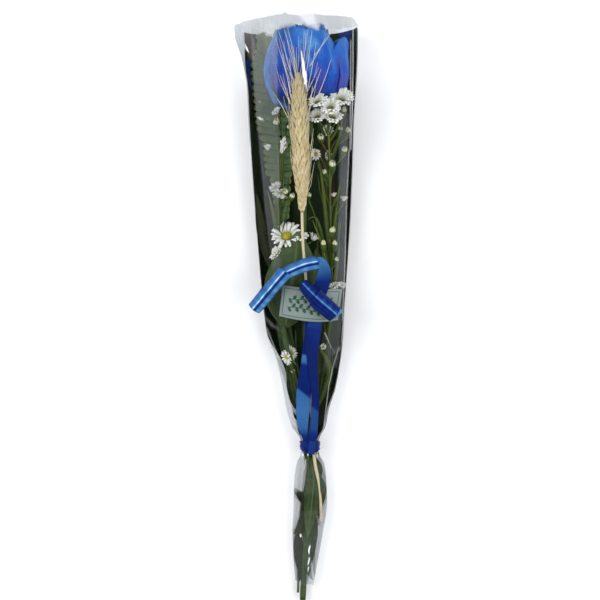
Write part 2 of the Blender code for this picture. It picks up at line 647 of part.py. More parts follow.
def sprig():
    """The leafy sprig: a broad leaf over the lower flowers and narrow leaves down to the tail."""
    main_line = [(4.6, -150, 10.8), neck_point(SPRIG_SLOT, -130), neck_point(SPRIG_SLOT),
                 neck_point(SPRIG_SLOT, -98), (-0.5, -70, 14.0), (-6.0, -45, 16.0), (-12.0, -20, 22.5)]
    pieces = [stalk("sprig_stem", main_line, 18, 1.15, 0.9)]
    leaf_shapes = [
        ([(-12.0, -20, 22.5), (-10.0, 4, 29.0), (-4.6, 26, 33.0), (5.0, 48, 33.0)], 31.0, -0.34, 7, 5),
        ([(-9.5, -32, 19.0), (-14.0, -24, 22.0), (-8.6, -40, 24.4), (-1.0, -54, 23.0)], 7.0, -0.1, 6, 3),
        ([(-2.0, -64, 14.4), (-8.0, -40, 9.6), (-13.0, -18, 10.0), (-16.0, 4, 12.0)], 9.0, 0.2, 6, 3),
        ([(5.0, -90, 12.0), (-3.0, -74, 9.6), (-6.0, -58, 9.4), (-9.0, -44, 9.4)], 8.0, 0.2, 6, 3),
        ([(6.0, -128, 12.0), (4.6, -144, 13.0), (2.4, -160, 12.4), (1.0, -184, 9.6)], 5.4, 0.2, 6, 3),
        ([(5.4, -136, 11.5), (3.8, -145, 14.5), (8.0, -156, 17.0), (12.2, -168, 16.6), (9.4, -196, 14.0)],
         10.5, -0.2, 8, 3),
        ([(4.6, -146, 10.8), (4.6, -160, 9.4), (5.4, -178, 9.4), (6.4, -196, 10.2)], 5.0, 0.2, 6, 3),
    ]
    for through, width, cup, along, across in leaf_shapes:
        grid = blade_grid(through, width, along, across=across, cup=cup)
        pieces.append(sheet("leaf", grid, BLADE_THICKNESS))
    return fuse("leaf_sprig", pieces, material("leaf_green", (0.1, 0.2, 0.08), 0.5), "MANIFOLD")


# Ribbon and label


def ribbon_rows(centre_line, normals, widths):
    """The ribbon's two edges at each place of its centre line."""
    rows = []
    count = len(centre_line)
    for i in range(count):
        ahead = unit(centre_line[min(i + 1, count - 1)] - centre_line[max(i - 1, 0)])
        side = unit(np.cross(ahead, normals[i]))
        half = 0.5 * widths[i]
        rows.append([centre_line[i] - side * half, centre_line[i] + side * half])
    return np.array(rows)


def flat_run(places, count, widths, lift):
    """A ribbon's centre line on the sleeve through x and y places, lying level across."""
    at = curve_through([(x, y, 0.0) for x, y in places], count)
    widths = np.interp(np.linspace(0, 1, count), np.linspace(0, 1, len(widths)), widths)
    grid = np.zeros((count, 2, 3))
    for i in range(count):
        ahead = unit(at[min(i + 1, count - 1)] - at[max(i - 1, 0)])
        side = unit(np.cross(ahead, (0.0, 0.0, 1.0)))
        for j, share in enumerate((-0.5, 0.5)):
            spot = at[i] + side * share * widths[i]
            grid[i, j] = (spot[0], spot[1], top_z(spot[0], spot[1]) + lift)
    return grid


def curl_rows(axis_through, turns, steps_per_turn, radius, start, width):
    """A corkscrew of ribbon round a curved axis. It starts at the angle start from straight down."""
    axis = curve_through(axis_through, 300)
    steps = int(turns * steps_per_turn) + 1
    centre_line, normals = [], []
    for t in np.linspace(0.0, 1.0, steps):
        k = int(round(t * 299))
        ahead = unit(axis[min(k + 1, 299)] - axis[max(k - 1, 0)])
        down = unit(np.array((0.0, 0.0, -1.0)) + ahead * ahead[2])
        across = np.cross(ahead, down)
        a = start + 2 * math.pi * turns * t
        out = math.cos(a) * down + math.sin(a) * across
        centre_line.append(axis[k] + out * radius)
        normals.append(-out)
    return ribbon_rows(np.array(centre_line), normals, np.full(steps, width))


def ribbon():
    lift = RIBBON_GAP + RIBBON_THICKNESS / 2
    turns = [2 * math.pi * k / SECTION_SIDES for k in range(SECTION_SIDES)]
    band = np.array([[section_point(y, turn, -0.78) for turn in turns] for y in (-106.8, -113.0, -118.6)])
    pieces = [sheet("band", band, BAND_THICKNESS, closed=True)]
    right = flat_run([(12.0, -108.5), (13.2, -92), (13.4, -60), (13.2, -30), (14.5, -8), (19.6, 16.5)],
                     12, (5.2, 7.6, 8.6, 9.0, 11.0, 12.0), lift)
    inner = [(14.2, 20.0, 43.8), (15.2, 26.0, 46.8), (15.2, 29.6, 49.8), (9.0, 29.4, 50.8)]
    outer = [(26.4, 19.0, 42.6), (26.2, 30.0, 47.0), (19.5, 38.8, 50.4), (9.0, 39.9, 51.0)]
    bend = np.stack([curve_through(inner, 6), curve_through(outer, 6)], axis=1)
    pieces.append(sheet("right_tail", np.concatenate([right, bend]), RIBBON_THICKNESS))
    curl = curl_rows([(14.5, 34.6, 51.0), (4.4, 34.8, 51.2), (-7.5, 28.1, 50.4), (-17.7, 17.8, 47.0),
                      (-28.0, 4.4, 41.0), (-32.8, -0.8, 38.4)], 4.6, 9, 5.3, 1.2, CURL_WIDTH)
    pieces.append(sheet("long_curl", curl, RIBBON_THICKNESS))
    left = flat_run([(7.6, -108.5), (5.0, -92), (4.8, -70), (4.6, -40), (4.4, -16), (4.6, 6), (6.4, 17.6)],
                    11, (5.0, 8.6, 12.0, 12.6, 12.6, 11.6, 7.6), lift)
    left_end = np.array([[(3.0, 18.8, 43.9), (10.2, 18.8, 43.9)], [(3.4, 17.4, 45.4), (10.4, 17.4, 45.4)],
                         [(5.0, 8.0, 45.5), (13.0, 11.4, 45.5)]])
    pieces.append(sheet("left_tail", np.concatenate([left, left_end]), RIBBON_THICKNESS))
    curl = curl_rows([(6.4, 14.0, 51.4), (12.8, 7.4, 51.4), (20.5, 0.8, 50.0), (26.6, -4.4, 47.8)],
                     1.95, 9, 6.0, 1.2, CURL_WIDTH)
    pieces.append(sheet("short_curl", curl, RIBBON_THICKNESS))
    return fuse("ribbon", pieces, material("ribbon", (0.03, 0.12, 0.5), 0.35), "MANIFOLD")


def label():
    corners = np.array(LABEL_CORNERS)
    grid = np.zeros((3, 7, 3))
    for i, v in enumerate(np.linspace(0.0, 1.0, 3)):
        for j, u in enumerate(np.linspace(0.0, 1.0, 7)):
            left = (1 - v) * corners[0] + v * corners[2]
            right = (1 - v) * corners[1] + v * corners[3]
            x, y = (1 - u) * left + u * right
            y -= 3.4 * v * 4 * u * (1 - u) * (0.6 + 0.4 * u)
            z = 42.6 - 0.0085 * (x - 8.0) ** 2 + 0.06 * (y - 2.0)
            grid[i, j] = (x, y, z)
    made = sheet("label", grid, LABEL_THICKNESS)
    return finish(made, "label", material("label", (0.86, 0.86, 0.86), 0.4))


def main():
    for obj in list(bpy.data.objects):
        bpy.data.objects.remove(obj)
    for name in (PARTS, HELPERS):
        bpy.context.scene.collection.children.link(bpy.data.collections.new(name))
    sleeve()
    liner()
    petals()
    rose_stem()
    fern()
    wheat()
    sprays()
    sprig()
    ribbon()
    label()


main()
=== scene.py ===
"""The looks of a blue rose bud in a florist's film sleeve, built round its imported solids.

Sizes are in millimetres, in the same places as the solids, and MM and MIDDLE turn them into metres
in the shared frame. +Y runs from the cut stems to the flower and +Z is up, towards the camera.
"""

import math

import bpy
import numpy as np
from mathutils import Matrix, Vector


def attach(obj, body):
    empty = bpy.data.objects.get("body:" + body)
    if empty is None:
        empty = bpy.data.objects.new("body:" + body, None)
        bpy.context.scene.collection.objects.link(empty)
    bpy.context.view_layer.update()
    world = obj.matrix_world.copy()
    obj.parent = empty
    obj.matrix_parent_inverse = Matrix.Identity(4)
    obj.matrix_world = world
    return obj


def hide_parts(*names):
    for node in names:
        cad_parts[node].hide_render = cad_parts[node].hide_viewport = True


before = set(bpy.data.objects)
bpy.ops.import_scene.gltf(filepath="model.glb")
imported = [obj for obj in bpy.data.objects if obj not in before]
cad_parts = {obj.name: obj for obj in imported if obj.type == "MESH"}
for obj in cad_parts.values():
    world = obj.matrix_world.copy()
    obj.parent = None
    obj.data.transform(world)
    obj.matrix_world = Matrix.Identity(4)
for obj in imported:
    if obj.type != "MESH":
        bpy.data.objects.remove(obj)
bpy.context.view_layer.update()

MM = 0.001
MIDDLE = np.array((-1.2, -4.6, 0.0))

# The photograph: its middle pixel, and the camera that took it, straight above the bouquet.
PHOTO_MIDDLE = 300.0
CAMERA_PLACE = (2.0, 4.4, 1600.0)
FOCUS_HEIGHT = 25.0
MM_PER_PIXEL = 0.8
SENSOR = 36.0

# The sleeve's cross-sections: y, centre x, half width, underside z, widest line's z, topside z.
SECTIONS = np.array([
    (232, -1.2, 50.2, 0.0, 20.0, 60.0),
    (218, -0.8, 49.6, 0.0, 21.0, 65.5),
    (196, 2.0, 46.4, 0.0, 22.0, 71.0),
    (176, 3.4, 44.2, 0.0, 22.0, 72.0),
    (150, 3.2, 42.8, 0.0, 20.0, 66.0),
    (110, 3.8, 41.0, 0.0, 18.0, 55.0),
    (70, 4.4, 38.8, 0.0, 16.0, 47.0),
    (30, 4.8, 36.0, 0.0, 15.0, 42.0),
    (0, 5.2, 33.6, 0.0, 14.0, 39.0),
    (-24, 6.2, 31.4, 0.0, 13.0, 36.0),
    (-45, 9.2, 26.0, 0.0, 12.0, 32.0),
    (-65, 9.6, 22.0, 0.0, 11.0, 28.0),
    (-85, 8.4, 17.0, 0.5, 10.0, 23.5),
    (-98, 9.0, 13.8, 0.8, 10.0, 21.6),
    (-106, 9.8, 8.8, 1.3, 10.0, 19.4),
    (-113, 10.0, 6.7, 1.5, 10.0, 18.8),
    (-120, 10.0, 7.8, 1.2, 10.0, 19.2),
    (-128, 10.4, 11.6, 0.4, 9.5, 20.4),
    (-140, 10.2, 13.2, 0.0, 9.0, 20.5),
    (-160, 10.2, 13.8, 0.0, 8.5, 19.5),
    (-180, 8.6, 13.0, 0.0, 8.0, 18.0),
    (-200, 7.2, 11.0, 0.0, 7.0, 16.0),
    (-224, 5.4, 8.0, 0.0, 6.0, 13.2),
])[::-1]
FLAT_SHARE = 0.6
ROUND_BELOW = 10.0
FLAT_ABOVE = 25.0
TOP_FULLNESS = 2.2

# The sleeve's open end, seen from above: x, and the y of its front edge.
TOP_EDGE = np.array([
    (-49.5, 222.7), (-43.0, 224.4), (-28.0, 225.6), (-17.5, 227.2), (-11.5, 228.0), (-9.7, 229.6),
    (-7.5, 227.6), (2.0, 226.6), (11.4, 228.2), (21.6, 227.3), (37.3, 228.0), (44.0, 228.2),
    (47.5, 225.4), (50.0, 224.6),
])
BACK_EDGE_Y = 226.6
TAIL_EDGE_Y = -224.0

# The dark liner: y, left edge x, right edge x, and its top edge: x, y.
LINER_EDGES = np.array([
    (222, -43.5, 48.6), (196, -42.2, 47.4), (176, -40.0, 46.6), (150, -38.7, 45.0),
    (110, -36.3, 43.8), (70, -33.5, 42.2), (30, -30.3, 39.8), (0, -27.5, 37.8), (-24, -24.0, 36.6),
    (-45, -13.0, 34.2), (-65, -6.6, 30.4), (-85, -1.2, 24.4), (-100, 3.6, 20.4), (-108, 5.6, 17.0),
])[::-1]
LINER_TOP = np.array([(-44.0, 221.0), (-30.0, 219.6), (-19.0, 216.4), (8.0, 218.0), (33.0, 221.0),
                      (48.0, 223.5)])

# The stems in the neck: offsets from its centre, x and z.
NECK = np.array((10.0, -113.0, 10.0))
SLOTS = {
    "rose": (0.0, -0.6),
    "wheat": (2.6, 4.6),
    "sprig": (-3.8, 1.9),
    "fern": (-3.6, -3.3),
    "asters_right": (4.1, 0.8),
    "asters_left": (-1.6, 5.2),
    "asters_low": (3.0, -4.4),
}

# The rose.
ROSE_BASE = np.array((3.6, 153.0, 36.5))
ROSE_FLATTEN = 0.93

# The ribbon.
RIBBON_GAP = 0.95
RIBBON_THICKNESS = 0.35
RIB_COUNT = 15.0


# The marks at each point of a piece, which its material reads.
MARKS = ("along", "across", "tint")


# Shapes


def smooth_step(t):
    t = np.clip(t, 0.0, 1.0)
    return t * t * (3.0 - 2.0 * t)


def unit(v):
    return v / np.maximum(np.linalg.norm(v, axis=-1, keepdims=True), 1e-9)


def lookup(table, at, k=1):
    """Values of a table's column between its rows, on straight lines."""
    return np.interp(at, table[:, 0], table[:, k])


def smooth_lookup(table, at, k=1):
    """Values of a table's column between its rows, on a smooth line that doesn't overshoot them."""
    xs, ys = table[:, 0], table[:, k]
    at = np.clip(np.asarray(at, float), xs[0], xs[-1])
    steps = np.diff(xs)
    slopes = np.diff(ys) / steps
    turns = slopes[:-1] * slopes[1:]
    inner = np.where(turns > 0, 2 * turns / np.where(turns > 0, slopes[:-1] + slopes[1:], 1.0), 0.0)
    tangents = np.concatenate([[slopes[0]], inner, [slopes[-1]]])
    k = np.clip(np.searchsorted(xs, at) - 1, 0, len(xs) - 2)
    t = (at - xs[k]) / steps[k]
    a, b = (2 * t**3 - 3 * t**2 + 1) * ys[k], (-2 * t**3 + 3 * t**2) * ys[k + 1]
    c, d = (t**3 - 2 * t**2 + t) * tangents[k], (t**3 - t**2) * tangents[k + 1]
    return a + b + steps[k] * (c + d)


def section_at(y):
    """Centre x, half width, underside z, widest z and topside z of the sleeve at y."""
    return [smooth_lookup(SECTIONS, y, k) for k in range(1, 6)]


def flat_share(half):
    return FLAT_SHARE * smooth_step((half - ROUND_BELOW) / (FLAT_ABOVE - ROUND_BELOW))


def height_above(share, side, top):
    """The topside's height. share runs from 0 at the sleeve's middle to 1 at its widest line."""
    return side + (top - side) * np.sqrt(np.maximum(0.0, 1.0 - share**TOP_FULLNESS))


def height_below(share, half, low, side):
    """The underside's height, flat in the middle and round from there to the widest line."""
    flat = flat_share(half)
    over = np.maximum(0.0, share - flat) / (1.0 - flat)
    return side - (side - low) * np.sqrt(np.maximum(0.0, 1.0 - over * over))


def sleeve_points(y, angle, depth=0.0):
    """Points of the sleeve's surface, or depth inside it. Angle 0 is +X, a quarter turn is up."""
    y, angle, depth = np.broadcast_arrays(np.asarray(y, float), angle, depth)
    centre, half, low, side, top = section_at(y)
    half, low, top = half - depth, low + depth, top - depth
    share = np.abs(np.cos(angle))
    above, below = height_above(share, side, top), height_below(share, half, low, side)
    z = np.where(np.sin(angle) >= 0.0, above, below)
    return np.stack([centre + half * np.cos(angle), y, z], axis=-1)


def floor_z(x, y):
    centre, half, low, side, _ = section_at(y)
    return height_below(np.minimum(1.0, np.abs(x - centre) / half), half, low, side)


def top_z(x, y):
    centre, half, _, side, top = section_at(y)
    return height_above(np.minimum(1.0, np.abs(x - centre) / half), side, top)


def scale_at(z):
    """Millimetres to a pixel of the photograph at a height."""
    return MM_PER_PIXEL * (CAMERA_PLACE[2] - z) / (CAMERA_PLACE[2] - FOCUS_HEIGHT)


def photo_place(points):
    """Where points show in the photograph, in pixels."""
    scale = scale_at(points[..., 2])
    across = PHOTO_MIDDLE + (points[..., 0] - CAMERA_PLACE[0]) / scale
    down = PHOTO_MIDDLE - (points[..., 1] - CAMERA_PLACE[1]) / scale
    return np.stack([across, down], axis=-1)


def from_photo(u, v, z):
    """The place at height z that shows at a pixel of the photograph."""
    across = CAMERA_PLACE[0] + (u - PHOTO_MIDDLE) * scale_at(z)
    return np.array((across, CAMERA_PLACE[1] + (PHOTO_MIDDLE - v) * scale_at(z), z))


def curve_through(points, count):
    """Points evenly placed along a smooth curve through the given ones."""
    p = np.array(points, float)
    ends = np.vstack([2 * p[0] - p[1], p, 2 * p[-1] - p[-2]])
    fine = []
    for k in range(len(p) - 1):
        a, b, c, d = ends[k:k + 4]
        for t in np.linspace(0.0, 1.0, 12, endpoint=False):
            fine.append(0.5 * (2 * b + (c - a) * t + (2 * a - 5 * b + 4 * c - d) * t * t
                               + (3 * b - a - 3 * c + d) * t**3))
    fine.append(p[-1])
    fine = np.array(fine)
    lengths = np.concatenate([[0.0], np.cumsum(np.linalg.norm(np.diff(fine, axis=0), axis=1))])
    at = np.linspace(0.0, lengths[-1], count)
    return np.column_stack([np.interp(at, lengths, fine[:, k]) for k in range(3)])


def directions(line):
    ahead = np.empty_like(line)
    ahead[1:-1] = line[2:] - line[:-2]
    ahead[0], ahead[-1] = line[1] - line[0], line[-1] - line[-2]
    return unit(ahead)


def neck_point(stem, y=NECK[1]):
    x, z = SLOTS[stem]
    return (NECK[0] + x, y, NECK[2] + z)


def through_neck(stem, below=-130, above=-98):
    """A stem's places below, at and above the tie."""
    return [neck_point(stem, y) for y in (below, NECK[1], above)]


def around(turn, side, other):
    """The direction at an angle from side towards other."""
    return math.cos(turn) * side + math.sin(turn) * other


def scaled(profile, size):
    return [(along * size, radius * size) for along, radius in profile]


class Surface:
    """Points and faces of one piece, with three marks at each point for its material.

    On blades and tubes along runs from 0 at a root to 1 at a tip, across from -1 to 1, and tint
    tells leaves, petals and husks apart. Film, liner and ribbon use the marks in their own ways,
    which the docstrings of their materials give.
    """

    def __init__(self):
        self.points, self.marks, self.faces, self.count = [], [], [], 0

    def add(self, points, faces, along=0.0, across=0.0, tint=0.0):
        points = np.asarray(points, float).reshape(-1, 3)
        marks = np.empty((len(points), 3))
        marks[:, 0], marks[:, 1], marks[:, 2] = np.ravel(along), np.ravel(across), np.ravel(tint)
        self.points.append(points)
        self.marks.append(marks)
        self.faces += [tuple(k + self.count for k in face) for face in faces]
        self.count += len(points)

    def slab(self, grid, thickness, tint=0.0, taper=0.35):
        """A thin closed blade on a grid of points, thinner towards its rim."""
        rows, columns = grid.shape[:2]
        down = np.gradient(grid, axis=0)
        over = np.gradient(grid, axis=1)
        normal = unit(np.cross(over, down))
        edge = np.ones((rows, columns))
        edge[[0, -1], :] = edge[:, [0, -1]] = taper
        shift = normal * (0.5 * thickness * edge)[..., None]
        along = np.repeat(np.linspace(0, 1, rows), columns)
        across = np.tile(np.linspace(-1, 1, columns), rows)
        front = grid_faces(rows, columns)
        n = rows * columns
        faces = [face[::-1] for face in front] + [tuple(k + n for k in face) for face in front]
        rim = ([(0, j) for j in range(columns)] + [(i, columns - 1) for i in range(1, rows)]
               + [(rows - 1, j) for j in range(columns - 2, -1, -1)]
               + [(i, 0) for i in range(rows - 2, 0, -1)])
        rim = [i * columns + j for i, j in rim]
        faces += [(a, b, b + n, a + n) for a, b in zip(rim, rim[1:] + rim[:1])]
        points = np.concatenate([(grid + shift).reshape(-1, 3), (grid - shift).reshape(-1, 3)])
        self.add(points, faces, np.tile(along, 2), np.tile(across, 2), tint)

    def tube(self, line, radii, sides=6, tint=0.0):
        """A stem along a line, closed at both ends."""
        line = np.asarray(line, float)
        radii = np.broadcast_to(radii, len(line))
        ahead = directions(line)
        side = np.cross(ahead[0], (0.0, 0.0, 1.0) if abs(ahead[0][2]) < 0.9 else (1.0, 0.0, 0.0))
        rings = []
        for point, direction, radius in zip(line, ahead, radii):
            side = unit(side - direction * np.dot(side, direction))
            other = np.cross(direction, side)
            turn = 2 * math.pi * np.arange(sides) / sides
            spokes = np.cos(turn)[:, None] * side + np.sin(turn)[:, None] * other
            rings.append(point + radius * spokes)
        faces = grid_faces(len(line), sides, closed=True)
        faces += [tuple(range(sides))[::-1],
                  tuple((len(line) - 1) * sides + k for k in range(sides))]
        along = np.repeat(np.linspace(0, 1, len(line)), sides)
        self.add(np.array(rings), faces, along, 0.6, tint)

    def turned(self, base, direction, profile, sides=10, tint=0.0):
        """A turned shape: each profile entry is a distance along direction and a radius."""
        direction = unit(np.array(direction, float))
        line = np.array([np.array(base) + direction * along for along, _ in profile])
        self.tube(line, [max(radius, 0.02) for _, radius in profile], sides, tint)

    def build(self, name, mat, slot, *nodes):
        """Make the piece, which rides on the body and stands for its solids."""
        mesh = bpy.data.meshes.new(name)
        piece = bpy.data.objects.new(name, mesh)
        points = (np.concatenate(self.points) - MIDDLE) * MM
        mesh.from_pydata(points.tolist(), [], self.faces)
        marks = np.concatenate(self.marks)
        for k, mark_name in enumerate(MARKS):
            attribute = mesh.attributes.new(mark_name, "FLOAT", "POINT")
            attribute.data.foreach_set("value", marks[:, k].astype(np.float32))
        mesh.shade_smooth()
        mesh.materials.append(mat)
        bpy.context.scene.collection.objects.link(piece)
        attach(piece, "root")
        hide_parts(*nodes)


def grid_faces(rows, columns, closed=False):
    faces = []
    for i in range(rows - 1):
        for j in range(columns if closed else columns - 1):
            k = (j + 1) % columns
            row, after = i * columns, (i + 1) * columns
            faces.append((row + j, row + k, after + k, after + j))
    return faces


# Materials

BLACK, WHITE = (0, 0, 0), (1, 1, 1)
WITHERED = (0.013, 0.012, 0.006)
THREAD_SHARE = 0.018
# The film's gloss everywhere, and what its slanting parts add.
FILM_GLOSS, FILM_EDGE_GLOSS = 0.012, 0.035
FILM_TINT = (0.985, 0.99, 0.99, 1.0)


def plain(name, **sockets):
    """A new material and its Principled shader, with plain values on the sockets named."""
    mat = bpy.data.materials.new(name)
    mat.use_nodes = True
    shader = mat.node_tree.nodes["Principled BSDF"]
    for socket, value in sockets.items():
        shader.inputs[socket.replace("_", " ")].default_value = value
    return mat, shader


def node(mat, kind, inputs=None, **settings):
    """A node of that kind. inputs gives values or other nodes' outputs by socket name or number."""
    made = mat.node_tree.nodes.new("ShaderNode" + kind)
    for name, value in settings.items():
        setattr(made, name, value)
    for name, value in (inputs or {}).items():
        if isinstance(value, bpy.types.NodeSocket):
            mat.node_tree.links.new(value, made.inputs[name])
        else:
            made.inputs[name].default_value = value
    return made


def maths(mat, operation, a, b=0.0, clamp=False):
    """A sum on two values, which may be numbers or other nodes' outputs."""
    return node(mat, "Math", {0: a, 1: b}, operation=operation, use_clamp=clamp).outputs[0]


def times(mat, a, b, clamp=False):
    return maths(mat, "MULTIPLY", a, b, clamp)


def plus(mat, a, b, clamp=False):
    return maths(mat, "ADD", a, b, clamp)


def minus(mat, a, b, clamp=False):
    return maths(mat, "SUBTRACT", a, b, clamp)


def mark(mat, name):
    return node(mat, "Attribute", attribute_name=name).outputs["Fac"]


def ramp(mat, value, *stops):
    """Colours along a value. Each stop is a place from 0 to 1 and a colour."""
    made = node(mat, "ValToRGB", {"Fac": value})
    elements = made.color_ramp.elements
    while len(elements) < len(stops):
        elements.new(0.5)
    for element, (at, colour) in zip(elements, stops):
        element.position = at
        element.color = (*colour, 1.0)
    return made.outputs["Color"]


def noise(mat, scale, detail=3.0, stretch=(1, 1, 1), vector=None):
    """A noise value. scale is in patches per millimetre, fewer where stretch is small."""
    if vector is None:
        vector = node(mat, "TexCoord").outputs["Object"]
    factors = tuple(1000.0 * share for share in stretch)
    placed = node(mat, "Mapping", {"Vector": vector, "Scale": factors}).outputs["Vector"]
    inputs = {"Vector": placed, "Scale": scale, "Detail": detail}
    return node(mat, "TexNoise", inputs).outputs["Fac"]


def blend(mat, share, a, b):
    """A mix of two colours, more of b with a larger share."""
    made = node(mat, "Mix", {0: share}, data_type="RGBA")
    for socket, value in ((made.inputs[6], a), (made.inputs[7], b)):
        if isinstance(value, bpy.types.NodeSocket):
            mat.node_tree.links.new(value, socket)
        else:
            socket.default_value = (*value, 1.0)
    return made.outputs[2]


def join(mat, shader, **sockets):
    for socket, output in sockets.items():
        mat.node_tree.links.new(output, shader.inputs[socket.replace("_", " ")])


def bumped(mat, shader, height, strength, distance):
    bump = node(mat, "Bump", {"Height": height, "Strength": strength, "Distance": distance * MM})
    join(mat, shader, Normal=bump.outputs["Normal"])


def green_material(name, dark, light, tip, roughness=0.5, ribs=9.0, rib_share=0.55):
    """Leaf tissue: patches of two greens, a paler midrib, side veins and a yellower tip.

    A tint over 0 is paler, and a tint under 0 is withered.
    """
    mat, shader = plain(name, Roughness=roughness, Specular_IOR_Level=0.1)
    along, across, tint = (mark(mat, name) for name in MARKS)
    patches = ramp(mat, noise(mat, 0.16, 4.0), (0.3, dark), (0.75, light))
    shade = blend(mat, times(mat, tint, 0.5), patches, light)
    reach = maths(mat, "ABSOLUTE", across)
    midrib = maths(mat, "LESS_THAN", reach, 0.07)
    slant = minus(mat, times(mat, along, ribs), times(mat, reach, 1.4))
    waves = maths(mat, "ABSOLUTE", maths(mat, "SINE", times(mat, slant, math.pi)))
    veins = maths(mat, "POWER", waves, 14.0)
    veined = blend(mat, times(mat, veins, 0.3), shade, light)
    ribbed = blend(mat, times(mat, midrib, rib_share), veined, tip)
    ends = maths(mat, "POWER", along, 5.0)
    tipped = blend(mat, times(mat, ends, 0.6), ribbed, tip)
    withered = times(mat, tint, -1.0, clamp=True)
    join(mat, shader, Base_Color=blend(mat, withered, tipped, WITHERED))
    bumped(mat, shader, plus(mat, times(mat, veins, -0.4), noise(mat, 1.2)), 0.35, 0.25)
    return mat


def petal_material():
    """Dyed petals: a navy foot darkened to near black as painted shade, royal blue, cloudy sky-blue
    tops, violet patches and fine veins.
    """
    mat, shader = plain("rose_petals", Roughness=0.5, Specular_IOR_Level=0.1, Sheen_Weight=0.02)
    along, across, tint = (mark(mat, name) for name in MARKS)
    height = plus(mat, along, times(mat, minus(mat, noise(mat, 0.09, 4.0), 0.5), 0.6))
    # Painted shade: near-black navy low on each petal, deep in the bloom.
    base = ramp(mat, height, (0.0, (0.002, 0.003, 0.02)), (0.16, (0.002, 0.005, 0.055)),
                (0.34, (0.004, 0.030, 0.30)), (0.60, (0.008, 0.076, 0.43)),
                (0.85, (0.014, 0.115, 0.48)), (1.0, (0.02, 0.14, 0.48)))
    # Violet patches from noise and from the violet strokes, one of which paints the shade in a
    # crevice.
    lilac = minus(mat, times(mat, noise(mat, 0.07, 3.0), 1.6), tint)
    patches = ramp(mat, lilac, (0.86, BLACK), (1.15, WHITE))
    violet = blend(mat, times(mat, patches, 0.6), base, (0.060, 0.050, 0.32))
    clouds = ramp(mat, noise(mat, 0.13, 5.0, (1, 0.7, 1)), (0.38, (0.1, 0.1, 0.1)), (0.58, WHITE))
    share = times(mat, clouds, maths(mat, "MAXIMUM", tint, 0.0), clamp=True)
    pale = blend(mat, share, violet, (0.12, 0.34, 0.66))
    vector = node(mat, "CombineXYZ", {0: times(mat, across, 0.022), 1: times(mat, along, 0.004)})
    vein = noise(mat, 1.4, 4.0, vector=vector.outputs[0])
    veins = ramp(mat, vein, (0.42, BLACK), (0.62, WHITE))
    veined = blend(mat, times(mat, veins, 0.22), pale, (0.035, 0.16, 0.46))
    specks = ramp(mat, noise(mat, 0.5, 4.0), (0.62, BLACK), (0.74, WHITE))
    spotted = blend(mat, times(mat, specks, 0.5), veined, (0.008, 0.03, 0.24))
    rim = maths(mat, "POWER", along, 10.0)
    join(mat, shader, Base_Color=blend(mat, times(mat, rim, 0.25), spotted, (0.10, 0.21, 0.46)))
    grain = plus(mat, times(mat, vein, 0.8), times(mat, noise(mat, 0.7, 5.0), 0.5))
    bumped(mat, shader, grain, 0.6, 0.7)
    return mat


def wheat_material():
    """Dry straw, with painted shade at each husk's foot and in the grooves between them."""
    mat, shader = plain("wheat_straw", Roughness=0.6, Specular_IOR_Level=0.15)
    along, tint = mark(mat, "along"), mark(mat, "tint")
    straw = ramp(mat, noise(mat, 0.5, 4.0, (1, 0.25, 1)), (0.25, (0.32, 0.23, 0.08)),
                 (0.5, (0.49, 0.39, 0.20)), (0.8, (0.60, 0.52, 0.33)))
    paler = blend(mat, times(mat, tint, 0.5), straw, (0.64, 0.57, 0.39))
    # Painted shade towards each husk's foot. Pieces tinted over 1, the straw and the awns, get less
    # or none.
    whole = times(mat, minus(mat, tint, 1.0), 2.0, clamp=True)
    shaded = minus(mat, 1.0, times(mat, along, 2.2), clamp=True)
    foot = minus(mat, shaded, whole, clamp=True)
    join(mat, shader, Base_Color=blend(mat, times(mat, foot, 0.9), paler, (0.19, 0.12, 0.035)))
    bumped(mat, shader, noise(mat, 3.0, 3.0, (1, 0.12, 1)), 0.6, 0.2)
    return mat


def ray_material():
    mat, shader = plain("aster_rays", Roughness=0.55, Specular_IOR_Level=0.15)
    along = mark(mat, "along")
    white = ramp(mat, along, (0.0, (0.50, 0.52, 0.28)), (0.3, (0.74, 0.74, 0.67)),
                 (1.0, (0.82, 0.82, 0.78)))
    lines = noise(mat, 1.5, 2.0)
    greyed = blend(mat, times(mat, lines, 0.4), white, (0.50, 0.52, 0.50))
    cream = minus(mat, mark(mat, "tint"), 1.0, clamp=True)
    join(mat, shader, Base_Color=blend(mat, cream, greyed, (0.48, 0.50, 0.20)))
    bumped(mat, shader, lines, 0.4, 0.2)
    return mat


def disc_material():
    mat, shader = plain("aster_discs", Roughness=0.65)
    yellow = ramp(mat, noise(mat, 1.6, 3.0), (0.3, (0.30, 0.25, 0.01)), (0.6, (0.52, 0.46, 0.03)),
                  (0.8, (0.60, 0.57, 0.16)))
    join(mat, shader, Base_Color=yellow)
    bumped(mat, shader, noise(mat, 2.5), 0.7, 0.4)
    return mat


def satin_material():
    """Satin ribbon with fine ribs along its length, counted by across.

    tint paints the light on the satin: the ribbon's own colour is royal blue, lower tints darken it
    as painted shade, and higher ones lighten it through azure to near white as painted reflection
    and highlight.
    """
    mat, shader = plain("satin_ribbon", Roughness=0.34, Specular_IOR_Level=0.05)
    across, tint = mark(mat, "across"), mark(mat, "tint")
    ribs = maths(mat, "SINE", times(mat, across, RIB_COUNT * math.pi))
    # Painted shade at the dark end, then royal blue, then painted reflection and highlight up to
    # near white.
    base = ramp(mat, tint, (0.0, (0.0005, 0.004, 0.072)), (0.25, (0.001, 0.012, 0.135)),
                (0.5, (0.028, 0.11, 0.29)), (0.75, (0.06, 0.21, 0.46)), (0.9, (0.22, 0.44, 0.66)),
                (1.0, (0.80, 0.90, 1.0)))
    threads = times(mat, plus(mat, ribs, 1.0), THREAD_SHARE)
    shade = blend(mat, threads, base, (0.12, 0.30, 0.56))
    mottled = blend(mat, times(mat, noise(mat, 0.35, 3.0), 0.2), shade, (0.002, 0.012, 0.13))
    join(mat, shader, Base_Color=mottled)
    height = plus(mat, ribs, times(mat, noise(mat, 2.2, 2.0), 0.8))
    bumped(mat, shader, height, 0.3, 0.12)
    return mat


